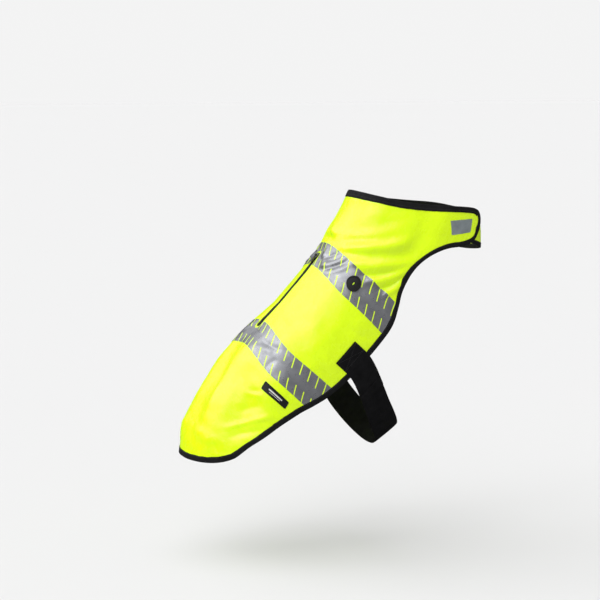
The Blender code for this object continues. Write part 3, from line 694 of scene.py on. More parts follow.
def make_piece(name: str, points: np.ndarray, faces: list, uv: np.ndarray | None = None,
               finish_numbers: np.ndarray | None = None) -> bpy.types.Object:
    """Smooth object in the scene from points in millimetres.

    Args:
        name: the piece's name.
        points: its points.
        faces: lists of point numbers.
        uv: one place for each point.
        finish_numbers: one material number for each face.

    Returns:
        The object.
    """
    mesh = bpy.data.meshes.new(name)
    mesh.from_pydata((points * MM).tolist(), [], faces)
    if uv is not None:
        fill_uv(mesh, uv)
    if finish_numbers is not None:
        mesh.polygons.foreach_set("material_index", finish_numbers.astype(np.int32))
    mesh.shade_smooth()
    mesh.set_sharp_from_angle(angle=math.radians(SHARP_ANGLE))
    return add_object(name, mesh)


def closed_shell(name: str, faces: np.ndarray, outer: np.ndarray, inner: np.ndarray,
                 uv: np.ndarray) -> bpy.types.Object:
    """Closed sheet between two faces, with material 0 outside and material 1 inside.

    Args:
        name: the piece's name.
        faces: triangles.
        outer, inner: the points of its two faces.
        uv: one place for each point.

    Returns:
        The object.
    """
    used, numbers = np.unique(faces, return_inverse=True)
    faces = numbers.reshape(faces.shape)
    outer, inner, uv = outer[used], inner[used], uv[used]
    a, b, c = (outer[faces[:, k]] for k in range(3))
    wrong = (np.cross(b - a, c - a) * (outer - inner)[faces[:, 0]]).sum(axis=1) < 0
    faces[wrong] = faces[wrong][:, ::-1]
    count = len(outer)
    pairs = np.concatenate([faces[:, [0, 1]], faces[:, [1, 2]], faces[:, [2, 0]]])
    code, back = pairs[:, 0] * count + pairs[:, 1], pairs[:, 1] * count + pairs[:, 0]
    rim = pairs[~np.isin(code, back)]
    quads = np.stack([rim[:, 1], rim[:, 0], rim[:, 0] + count, rim[:, 1] + count], axis=1)
    every = [*faces.tolist(), *(faces[:, ::-1] + count).tolist(), *quads.tolist()]
    numbers = np.repeat([0, 1, 0], [len(faces), len(faces), len(quads)])
    return make_piece(name, np.concatenate([outer, inner]), every, np.concatenate([uv, uv]), numbers)


def tube(name: str, sections: np.ndarray, uv: np.ndarray, closed: bool = False) -> bpy.types.Object:
    """Closed skin through like sections.

    Args:
        name: the piece's name.
        sections: points, by section and place round it.
        uv: one place for each point, in the same order.
        closed: whether the last section meets the first.

    Returns:
        The object.
    """
    rows, count = sections.shape[:2]
    faces: list = []
    for row in range(rows if closed else rows - 1):
        first, second = row * count, (row + 1) % rows * count
        for i in range(count):
            j = (i + 1) % count
            faces.append([first + i, first + j, second + j, second + i])
    if not closed:
        faces += [list(range(count))[::-1], list(range((rows - 1) * count, rows * count))]
    points = sections.reshape(-1, 3)
    triangles = np.array([points[face[:3]] for face in faces[: len(faces) - 2]])
    middles = np.repeat(sections.mean(axis=1), count, axis=0)[: len(triangles)]
    facing = np.cross(triangles[:, 1] - triangles[:, 0], triangles[:, 2] - triangles[:, 0])
    if (facing * (triangles.mean(axis=1) - middles)).sum() < 0:
        faces = [face[::-1] for face in faces]
    return make_piece(name, points, faces, uv)


def tube_uv(run: np.ndarray, girth: np.ndarray) -> np.ndarray:
    """UV map of a tube in metres, from the lengths along it and round it in millimetres."""
    return np.stack(np.meshgrid(run, girth, indexing="ij"), axis=2).reshape(-1, 2)[:, ::-1] * MM


class Nodes:
    """Adds and joins the nodes of one tree."""

    def __init__(self, tree: bpy.types.NodeTree) -> None:
        """Keep the tree."""
        self.tree = tree

    def add(self, kind: str, inputs: dict | None = None, **settings: object) -> bpy.types.Node:
        """New node.

        Args:
            kind: the node's type.
            inputs: values or sockets by input name or number.
            settings: the node's own properties.

        Returns:
            The node.
        """
        node = self.tree.nodes.new(kind)
        for key, value in settings.items():
            setattr(node, key, value)
        for key, value in (inputs or {}).items():
            self.feed(node.inputs[key], value)
        return node

    def feed(self, socket: bpy.types.NodeSocket, value: object) -> None:
        """Give an input a value, or join it to an output."""
        if isinstance(value, bpy.types.NodeSocket):
            self.tree.links.new(value, socket)
        else:
            socket.default_value = value

    def math(self, operation: str, *values: object) -> bpy.types.NodeSocket:
        """Result of a Math node with these inputs."""
        return self.add("ShaderNodeMath", dict(enumerate(values)), operation=operation).outputs[0]

    def weighted(self, first: object, share: object, second: object, other: object) -> bpy.types.NodeSocket:
        """Sum of two values, each times its own share."""
        return self.math("ADD", self.math("MULTIPLY", first, share), self.math("MULTIPLY", second, other))

    def span(self, value: object, low: float, high: float, to_low: float,
             to_high: float) -> bpy.types.NodeSocket:
        """Value carried from one range to another, kept within it."""
        inputs = {"Value": value, "From Min": low, "From Max": high, "To Min": to_low, "To Max": to_high}
        return self.add("ShaderNodeMapRange", inputs).outputs[0]

    def blend(self, factor: object, first: object, second: object) -> bpy.types.NodeSocket:
        """Colour between two others."""
        return self.add("ShaderNodeMix", {"Factor": factor, 6: first, 7: second}, data_type="RGBA").outputs[2]


def shader_group(name: str, takes: dict, gives: tuple) -> tuple[bpy.types.NodeTree, Nodes, object, object]:
    """Empty shader node group that takes a vector and named values.

    Args:
        name: the group's name.
        takes: default by name, for the values.
        gives: names of the values that it gives.

    Returns:
        The group, its node maker, and its input and output nodes.
    """
    group = bpy.data.node_groups.new(name, "ShaderNodeTree")
    group.interface.new_socket("Vector", in_out="INPUT", socket_type="NodeSocketVector")
    for key, value in takes.items():
        socket = group.interface.new_socket(key, in_out="INPUT", socket_type="NodeSocketFloat")
        socket.default_value = value
    for key in gives:
        group.interface.new_socket(key, in_out="OUTPUT", socket_type="NodeSocketFloat")
    nodes = Nodes(group)
    return group, nodes, nodes.add("NodeGroupInput"), nodes.add("NodeGroupOutput")


def weave_group() -> bpy.types.NodeTree:
    """Plain weave over a UV map in metres: its height, and a mask of the gaps between threads, which the
    cloth darkens as painted shade.

    Returns:
        The group.
    """
    if "Weave" in bpy.data.node_groups:
        return bpy.data.node_groups["Weave"]
    takes = {"Threads Across": 1800.0, "Threads Along": 1800.0}
    group, nodes, start, end = shader_group("Weave", takes, ("Height", "Gap Shade"))
    split = nodes.add("ShaderNodeSeparateXYZ", {0: start.outputs["Vector"]})
    across = nodes.math("MULTIPLY", split.outputs[0], start.outputs["Threads Across"])
    along = nodes.math("MULTIPLY", split.outputs[1], start.outputs["Threads Along"])
    crowns = [nodes.math("ABSOLUTE", nodes.math("SINE", nodes.math("MULTIPLY", way, math.pi)))
              for way in (across, along)]
    total = nodes.math("ADD", nodes.math("FLOOR", across), nodes.math("FLOOR", along))
    over = nodes.math("FLOORED_MODULO", total, 2.0)
    under = nodes.math("SUBTRACT", 1.0, over)
    nodes.feed(end.inputs["Height"], nodes.weighted(crowns[0], over, crowns[1], under))
    nodes.feed(end.inputs["Gap Shade"], nodes.span(nodes.math("MULTIPLY", *crowns), 0.0, 0.35, 1.0, 0.0))
    return group


def mottle_group() -> bpy.types.NodeTree:
    """Soft uneven value between two limits.

    Returns:
        The group.
    """
    if "Mottle" in bpy.data.node_groups:
        return bpy.data.node_groups["Mottle"]
    takes = {"Scale": 30.0, "Low": 0.0, "High": 1.0}
    group, nodes, start, end = shader_group("Mottle", takes, ("Value",))
    where, scale, low, high = (start.outputs[key] for key in ("Vector", *takes))
    inputs = {"Vector": where, "Scale": scale, "Detail": 4.0, "Roughness": 0.55}
    noise = nodes.add("ShaderNodeTexNoise", inputs)
    nodes.feed(end.inputs["Value"], nodes.span(noise.outputs[0], 0.32, 0.68, low, high))
    return group


@dataclass(frozen=True)
class Finish:
    """Surface of one kind of material; each kind dresses its own nodes."""

    name: str
    colour: tuple[float, float, float]
    roughness: float = 0.6
    specular: float = 0.5
    metallic: float = 0.0
    coat: float = 0.0
    coat_roughness: float = 0.3
    bump: float = 0.3
    depth: float = 0.0003

    def material(self) -> bpy.types.Material:
        """The Blender material, made once.

        Returns:
            The material.
        """
        known = bpy.data.materials.get(self.name)
        if known:
            return known
        material = bpy.data.materials.new(self.name)
        material.use_nodes = True
        nodes = Nodes(material.node_tree)
        shader = material.node_tree.nodes["Principled BSDF"]
        constants = {"Base Color": (*self.colour, 1.0), "Roughness": self.roughness,
                     "Metallic": self.metallic, "Specular IOR Level": self.specular,
                     "Coat Weight": self.coat, "Coat Roughness": self.coat_roughness}
        for key, value in constants.items():
            shader.inputs[key].default_value = value
        height = self.dress(nodes, shader)
        inputs = {"Strength": self.bump, "Distance": self.depth, "Height": height}
        relief = nodes.add("ShaderNodeBump", inputs)
        nodes.feed(shader.inputs["Normal"], relief.outputs[0])
        return material

    def dress(self, nodes: Nodes, shader: bpy.types.Node) -> bpy.types.NodeSocket:
        """Join this kind's own pattern to the shader and return its height."""
        raise NotImplementedError

    def uv(self, nodes: Nodes) -> bpy.types.NodeSocket:
        """The piece's own UV map, in metres."""
        return nodes.add("ShaderNodeUVMap", uv_map="UVMap").outputs[0]

    def mottle(self, nodes: Nodes, where: object, scale: float, low: float = 0.0,
               high: float = 1.0) -> bpy.types.NodeSocket:
        """Uneven value between two limits."""
        inputs = {"Vector": where, "Scale": scale, "Low": low, "High": high}
        return nodes.add("ShaderNodeGroup", inputs, node_tree=mottle_group()).outputs[0]

    def weave(self, nodes: Nodes, where: object, across: float, along: float) -> bpy.types.Node:
        """Weave group with its thread counts to a metre."""
        inputs = {"Vector": where, "Threads Across": across, "Threads Along": along}
        return nodes.add("ShaderNodeGroup", inputs, node_tree=weave_group())

    def roughen(self, nodes: Nodes, shader: bpy.types.Node, where: object, scale: float,
                less: float = 0.08, more: float = 0.08) -> None:
        """Let the roughness vary a little round the finish's own.

        Args:
            nodes: the material's node maker.
            shader: its shader.
            where: the coordinates.
            scale: how fine the change is.
            less, more: how far it goes down and up.
        """
        low, high = self.roughness - less, self.roughness + more
        nodes.feed(shader.inputs["Roughness"], self.mottle(nodes, where, scale, low, high))

    def shades(self, nodes: Nodes, amount: object, low: float, high: float) -> bpy.types.NodeSocket:
        """Colour from a darker to a lighter shade of the finish's own."""
        dark, light = ((*[min(1.0, c * share) for c in self.colour], 1.0) for share in (low, high))
        return nodes.blend(amount, dark, light)


@dataclass(frozen=True)
class WovenCloth(Finish):
    """Close plain-woven cloth with a soft sheen, crinkled a little, with painted shade in the gaps between
    its threads and, where asked, a painted glow of its own colour.
    """

    threads: float = 1900.0
    # Strength of a painted glow: light of the cloth's own colour given off everywhere alike, though the cloth
    # is no lamp
    painted_glow: float = 0.0
    crinkle: float = 2.2

    def dress(self, nodes: Nodes, shader: bpy.types.Node) -> bpy.types.NodeSocket:
        """Weave, soft crinkles, faint clouds of colour, painted shade in the gaps between threads and a
        painted glow where asked.

        Args:
            nodes: the node maker.
            shader: the material's shader.

        Returns:
            The height for its bump.
        """
        where = self.uv(nodes)
        weave = self.weave(nodes, where, self.threads, self.threads)
        cloud, worn = self.mottle(nodes, where, 26.0), self.mottle(nodes, where, 210.0)
        colour = self.shades(nodes, nodes.weighted(cloud, 0.7, worn, 0.3), 0.93, 1.04)
        # Painted shade: the colour darkens in the gaps between threads, where shade falls
        gap_shade_colour = self.shades(nodes, 0.0, 0.8, 1.0)
        gap_shade_share = nodes.math("MULTIPLY", weave.outputs["Gap Shade"], 0.35)
        nodes.feed(shader.inputs["Base Color"], nodes.blend(gap_shade_share, colour, gap_shade_colour))
        self.roughen(nodes, shader, where, 60.0, 0.07, 0.07)
        # Painted glow: the cloth gives off light of its own colour, which brightens its shaded parts
        if self.painted_glow:
            shader.inputs["Emission Color"].default_value = (*self.colour, 1.0)
            shader.inputs["Emission Strength"].default_value = self.painted_glow
        crinkle = self.mottle(nodes, where, 95.0, 0.0, self.crinkle)
        return nodes.math("ADD", nodes.math("MULTIPLY", weave.outputs["Height"], 0.22), crinkle)


@dataclass(frozen=True)
class SlitTape(Finish):
    """Silver reflective film with slanting slits from both edges, through which the cloth shows."""

    slit_colour: tuple[float, float, float] = (0.72, 1.0, 0.0)
    width: float = 0.050
    pitch: float = 0.0181
    slit_width: float = 0.0021
    slit_reach: float = 0.0172
    lean: float = 0.51
    soft_side: tuple[float, float] = (0.82, 1.12)
    soft_end: tuple[float, float] = (0.98, 1.02)
    slit_depth: float = 1.2

    def slits(self, nodes: Nodes, where: object) -> bpy.types.NodeSocket:
        """How far each spot lies in a slit, from 0 on the film to 1.

        Args:
            nodes: the material's node maker.
            where: the UV map.

        Returns:
            The value.
        """
        split = nodes.add("ShaderNodeSeparateXYZ", {0: where})
        leaned = nodes.math("ADD", split.outputs[0], nodes.math("MULTIPLY", split.outputs[1], -self.lean))
        share = nodes.math("FLOORED_MODULO", nodes.math("DIVIDE", leaned, self.pitch), 1.0)
        off = nodes.math("MULTIPLY", nodes.math("ABSOLUTE", nodes.math("SUBTRACT", share, 0.5)), self.pitch)
        line = nodes.span(off, *(self.slit_width / 2 * soft for soft in self.soft_side), 1.0, 0.0)
        far_way = nodes.math("SUBTRACT", self.width, split.outputs[1])
        edge_way = nodes.math("MINIMUM", split.outputs[1], far_way)
        near = nodes.span(edge_way, *(self.slit_reach * soft for soft in self.soft_end), 1.0, 0.0)
        return nodes.math("MULTIPLY", line, near)

    def dress(self, nodes: Nodes, shader: bpy.types.Node) -> bpy.types.NodeSocket:
        """Film with its slits, fine beads and faint rubbing.

        Args:
            nodes: the node maker.
            shader: the material's shader.

        Returns:
            The height for its bump.
        """
        where = self.uv(nodes)
        slit = self.slits(nodes, where)
        film = self.shades(nodes, self.mottle(nodes, where, 70.0), 0.86, 1.12)
        nodes.feed(shader.inputs["Base Color"], nodes.blend(slit, film, (*self.slit_colour, 1.0)))
        nodes.feed(shader.inputs["Metallic"], nodes.math("MULTIPLY", nodes.math("SUBTRACT", 1.0, slit),
                                                         self.metallic))
        rough = self.mottle(nodes, where, 130.0, self.roughness - 0.05, self.roughness + 0.06)
        nodes.feed(shader.inputs["Roughness"], nodes.math("ADD", rough, nodes.math("MULTIPLY", slit, 0.3)))
        weave = self.weave(nodes, where, 1500.0, 1500.0)
        beads = nodes.add("ShaderNodeTexNoise", {"Vector": where, "Scale": 2600.0, "Detail": 1.0})
        height = nodes.weighted(weave.outputs["Height"], 0.3, beads.outputs[0], 0.35)
        height = nodes.math("ADD", height, self.mottle(nodes, where, 120.0, 0.0, 0.5))
        return nodes.math("SUBTRACT", height, nodes.math("MULTIPLY", slit, self.slit_depth))


@dataclass(frozen=True)
class Ribbed(Finish):
    """Woven tape with ribs across it, such as binding, webbing and zip tape."""

    ribs: float = 900.0
    threads: float = 1300.0

    def dress(self, nodes: Nodes, shader: bpy.types.Node) -> bpy.types.NodeSocket:
        """Ribs, threads and a paler bloom where they are rubbed.

        Args:
            nodes: the node maker.
            shader: the material's shader.

        Returns:
            The height for its bump.
        """
        where = self.uv(nodes)
        weave = self.weave(nodes, where, self.threads, self.ribs)
        bloom = self.mottle(nodes, where, 75.0)
        lint = self.mottle(nodes, where, 900.0, 0.0, 0.5)
        crown = nodes.math("MULTIPLY", weave.outputs["Height"], nodes.math("ADD", bloom, lint))
        nodes.feed(shader.inputs["Base Color"], self.shades(nodes, crown, 0.55, 1.9))
        self.roughen(nodes, shader, where, 160.0)
        return nodes.math("ADD", weave.outputs["Height"], nodes.math("MULTIPLY", bloom, 0.8))


@dataclass(frozen=True)
class Moulded(Finish):
    """Moulded rubber, nylon or painted metal: fine grain, and paler scuffs."""

    grain: float = 1800.0
    scuff: float = 1.5
    bump: float = 0.1
    depth: float = 0.0001

    def dress(self, nodes: Nodes, shader: bpy.types.Node) -> bpy.types.NodeSocket:
        """Fine grain and soft scuffs on the object's own coordinates.

        Args:
            nodes: the node maker.
            shader: the material's shader.

        Returns:
            The height for its bump.
        """
        where = nodes.add("ShaderNodeTexCoord").outputs["Object"]
        grain = nodes.add("ShaderNodeTexNoise", {"Vector": where, "Scale": self.grain, "Detail": 2.0})
        worn = self.mottle(nodes, where, 260.0)
        nodes.feed(shader.inputs["Base Color"], self.shades(nodes, worn, 0.75, self.scuff))
        self.roughen(nodes, shader, where, 420.0, more=0.1)
        return nodes.weighted(grain.outputs[0], 0.6, worn, 0.5)


@dataclass(frozen=True)
class Thread(Finish):
    """Twisted sewing thread."""

    def dress(self, nodes: Nodes, shader: bpy.types.Node) -> bpy.types.NodeSocket:
        """Fine twist and uneven shade.

        Args:
            nodes: the node maker.
            shader: the material's shader.

        Returns:
            The height for its bump.
        """
        where = nodes.add("ShaderNodeTexCoord").outputs["Object"]
        worn = self.mottle(nodes, where, 500.0)
        nodes.feed(shader.inputs["Base Color"], self.shades(nodes, worn, 0.8, 1.15))
        return nodes.add("ShaderNodeTexNoise", {"Vector": where, "Scale": 3000.0, "Detail": 2.0}).outputs[0]


# The outer cloth has a faint painted glow that lifts its shaded parts
OUTER_CLOTH = WovenCloth("fluorescent_outer", (0.68, 0.945, 0.0), roughness=0.27, painted_glow=0.05)
LINING_CLOTH = WovenCloth("fluorescent_inner", (0.66, 0.86, 0.05), roughness=0.7, specular=0.25,
                          threads=1500.0)
FILM = SlitTape("silver_film", (0.22, 0.225, 0.24), roughness=0.3, metallic=0.6, bump=0.25, depth=0.0002)
PLAIN_FILM = SlitTape("plain_film", (0.25, 0.285, 0.3), roughness=0.45, specular=0.4, metallic=0.4, bump=0.25,
                      depth=0.0002, slit_width=0.0, slit_reach=0.0)
BLACK_BINDING = Ribbed("ribbed_binding", (0.006, 0.006, 0.0065), roughness=0.7, specular=0.14, bump=0.5)
BLACK_WEBBING = Ribbed("flat_webbing", (0.004, 0.004, 0.0045), roughness=0.78, specular=0.12, bump=0.55,
                       depth=0.0004, ribs=620.0, threads=900.0)
ZIP_WEAVE = Ribbed("zip_tape_weave", (0.006, 0.006, 0.006), roughness=0.7, specular=0.15, bump=0.4,
                   depth=0.0002, ribs=1400.0, threads=1400.0)
RUBBER = Moulded("matt_rubber", (0.006, 0.006, 0.0065), roughness=0.5, specular=0.25, bump=0.15)
NYLON = Moulded("nylon_coil", (0.016, 0.016, 0.015), roughness=0.35)
PAINTED = Moulded("black_painted_metal", (0.02, 0.02, 0.021), roughness=0.34, coat=0.3, coat_roughness=0.25,
                  scuff=2.2)
PALE_PRINT = Moulded("pale_print", (0.62, 0.62, 0.6), specular=0.3, scuff=1.1)
LIME_INLAY = Moulded("lime_inlay", (0.55, 0.85, 0.01), roughness=0.5, specular=0.4, scuff=1.1)
BLACK_THREAD = Thread("black_thread", (0.03, 0.03, 0.032))
GREY_THREAD = Thread("grey_thread", (0.2, 0.2, 0.22))
YELLOW_THREAD = Thread("yellow_thread", (0.66, 0.92, 0.01))


@dataclass
class Rows:
    """Points that Geometry Nodes turn into stitches or coil teeth, each with its heading and its facing."""

    shape: Unit
    length: float
    thickness: float
    swing: float = 0.05
    centres: list = field(default_factory=list)
    headings: list = field(default_factory=list)
    facings: list = field(default_factory=list)

    def follow(self, cloth: WornCloth, line: np.ndarray, pitch: float, height: float | np.ndarray,
               flip: bool = False) -> None:
        """Add a row of points along a line of places.

        Args:
            cloth: what the row lies on.
            line: places in order.
            pitch: distance between points.
            height: height over the cloth's inner face, one for all or one each.
            flip: whether the row faces inwards.
        """
        points, facing = cloth.at(line, height)
        run = run_along(points)
        at = np.arange(pitch / 2, run[-1], pitch)
        centre, up, ahead = (np.stack([np.interp(at, run, data[:, k]) for k in range(3)], axis=1)
                             for data in (points, facing, np.gradient(points, axis=0)))
        self.centres.append(centre)
        self.headings.append(unit(ahead))
        self.facings.append(-up if flip else up)

    def tree(self) -> bpy.types.NodeTree:
        """Node tree that places one small body on each point.

        Returns:
            The node tree.
        """
        tree = bpy.data.node_groups.new(f"{self.shape.value}_row", "GeometryNodeTree")
        tree.interface.new_socket("Geometry", in_out="INPUT", socket_type="NodeSocketGeometry")
        for key, kind in (("Length", "Float"), ("Thickness", "Float"), ("Swing", "Float"), ("Seed", "Int"),
                          ("Material", "Material")):
            tree.interface.new_socket(key, in_out="INPUT", socket_type="NodeSocket" + kind)
        tree.interface.new_socket("Geometry", in_out="OUTPUT", socket_type="NodeSocketGeometry")
        nodes = Nodes(tree)
        start, end = nodes.add("NodeGroupInput"), nodes.add("NodeGroupOutput")
        heading, facing = (nodes.add("GeometryNodeInputNamedAttribute", {"Name": key},
                                     data_type="FLOAT_VECTOR").outputs[0] for key in ("heading", "facing"))
        ahead = nodes.add("FunctionNodeAlignRotationToVector", {"Vector": heading}, axis="X")
        inputs = {"Rotation": ahead.outputs[0], "Vector": facing}
        upright = nodes.add("FunctionNodeAlignRotationToVector", inputs, axis="Z", pivot_axis="X")
        low = nodes.math("MULTIPLY", start.outputs["Swing"], -1.0)
        chance = nodes.add("FunctionNodeRandomValue", {2: low, 3: start.outputs["Swing"],
                                                       "Seed": start.outputs["Seed"]}, data_type="FLOAT")
        lean = nodes.add("ShaderNodeCombineXYZ", {"Z": chance.outputs[1]})
        turn = nodes.add("FunctionNodeEulerToRotation", {0: lean.outputs[0]})
        turned = nodes.add("FunctionNodeRotateRotation", {0: upright.outputs[0], 1: turn.outputs[0]},
                           rotation_space="LOCAL")
        body = self.thread(nodes, start) if self.shape is Unit.THREAD else self.tooth(nodes, start)
        placed = nodes.add("GeometryNodeInstanceOnPoints", {"Points": start.outputs["Geometry"],
                                                            "Instance": body, "Rotation": turned.outputs[0]})
        real = nodes.add("GeometryNodeRealizeInstances", {0: placed.outputs[0]})
        smooth = nodes.add("GeometryNodeSetShadeSmooth", {0: real.outputs[0]})
        dressed = nodes.add("GeometryNodeSetMaterial", {0: smooth.outputs[0],
                                                        "Material": start.outputs["Material"]})
        nodes.feed(end.inputs[0], dressed.outputs[0])
        return tree

    def thread(self, nodes: Nodes, start: bpy.types.Node) -> bpy.types.NodeSocket:
        """One stitch, a long rounded body.

        Args:
            nodes: the node maker.
            start: the tree's input node.

        Returns:
            Its geometry.
        """
        ball = nodes.add("GeometryNodeMeshUVSphere", {"Segments": 6, "Rings": 5, "Radius": 0.5})
        thick = start.outputs["Thickness"]
        size = nodes.add("ShaderNodeCombineXYZ", {"X": start.outputs["Length"], "Y": thick, "Z": thick})
        return nodes.add("GeometryNodeTransform", {0: ball.outputs[0], "Scale": size.outputs[0]}).outputs[0]

    def tooth(self, nodes: Nodes, start: bpy.types.Node) -> bpy.types.NodeSocket:
        """One bent wire of the coil, from its side to the middle.

        Args:
            nodes: the node maker.
            start: the tree's input node.

        Returns:
            Its geometry.
        """
        reach = start.outputs["Length"]
        left, top, right = (
            nodes.add("ShaderNodeCombineXYZ", {"Y": nodes.math("MULTIPLY", reach, y),
                                               "Z": nodes.math("MULTIPLY", reach, z)}).outputs[0]
            for y, z in ((-0.6, 0.0), (0.1, 0.9), (0.62, 0.0)))
        bent = nodes.add("GeometryNodeCurveQuadraticBezier", {"Resolution": 5, "Start": left, "Middle": top,
                                                              "End": right})
        radius = nodes.math("MULTIPLY", start.outputs["Thickness"], 0.5)
        ring = nodes.add("GeometryNodeCurvePrimitiveCircle", {"Resolution": 6, "Radius": radius})
        return nodes.add("GeometryNodeCurveToMesh", {0: bent.outputs[0], 1: ring.outputs[0],
                                                     "Fill Caps": True}).outputs[0]

    def piece(self, name: str, finish: Finish, seed: int) -> bpy.types.Object:
        """Plain mesh object of all rows.

        Args:
            name: the piece's name.
            finish: its finish.
            seed: fixes the small differences between its bodies.

        Returns:
            The object.
        """
        mesh = bpy.data.meshes.new(name + "_points")
        mesh.from_pydata((np.concatenate(self.centres) * MM).tolist(), [], [])
        for key, rows in (("heading", self.headings), ("facing", self.facings)):
            layer = mesh.attributes.new(key, "FLOAT_VECTOR", "POINT")
            layer.data.foreach_set("vector", np.concatenate(rows).astype(np.float32).ravel())
        holder = add_object(name + "_points", mesh)
        change = holder.modifiers.new("Rows", "NODES")
        change.node_group = self.tree()
        values = {"Length": self.length * MM, "Thickness": self.thickness * MM, "Swing": self.swing,
                  "Seed": seed, "Material": finish.material()}
        for socket in change.node_group.interface.items_tree:
            if socket.in_out == "INPUT" and socket.name in values:
                change[socket.identifier] = values[socket.name]
        graph = bpy.context.evaluated_depsgraph_get()
        made = bpy.data.meshes.new_from_object(holder.evaluated_get(graph))
        bpy.data.objects.remove(holder)
        made.name = name
        return add_object(name, made)


def dress(item: bpy.types.Object, *finishes: Finish) -> None:
    """Give an object its finishes in order."""
    for finish in finishes:
        item.data.materials.append(finish.material())


def join_garment(item: bpy.types.Object, slot: str, *nodes: str) -> bpy.types.Object:
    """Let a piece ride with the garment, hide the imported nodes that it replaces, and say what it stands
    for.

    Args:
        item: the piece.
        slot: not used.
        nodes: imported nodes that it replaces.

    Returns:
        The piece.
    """
    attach(item, BODY)
    if nodes:
        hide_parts(*nodes)
    LOG.info("%s: %d faces, stands for %s", item.name, len(item.data.polygons),
             ", ".join(nodes) or "nothing packed")
    return item


def laid_piece(cloth: WornCloth, name: str, shape: tuple, heights: tuple, finish: Finish, slot: str,
               *nodes: str) -> bpy.types.Object:
    """Thin closed piece on the cloth.

    Args:
        cloth: what it lies on.
        name: the piece's name.
        shape: its places and triangles.
        heights: height of its inner and of its outer face, one for all places or one each.
        finish: its finish.
        slot: the record's material slot.
        nodes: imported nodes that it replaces.

    Returns:
        The piece.
    """
    places, faces = shape
    inner, outer = (cloth.at(places, height)[0] for height in heights)
    item = closed_shell(name, faces, outer, inner, places[:, ::-1] * MM)
    dress(item, finish, finish)
    return join_garment(item, slot, *nodes)


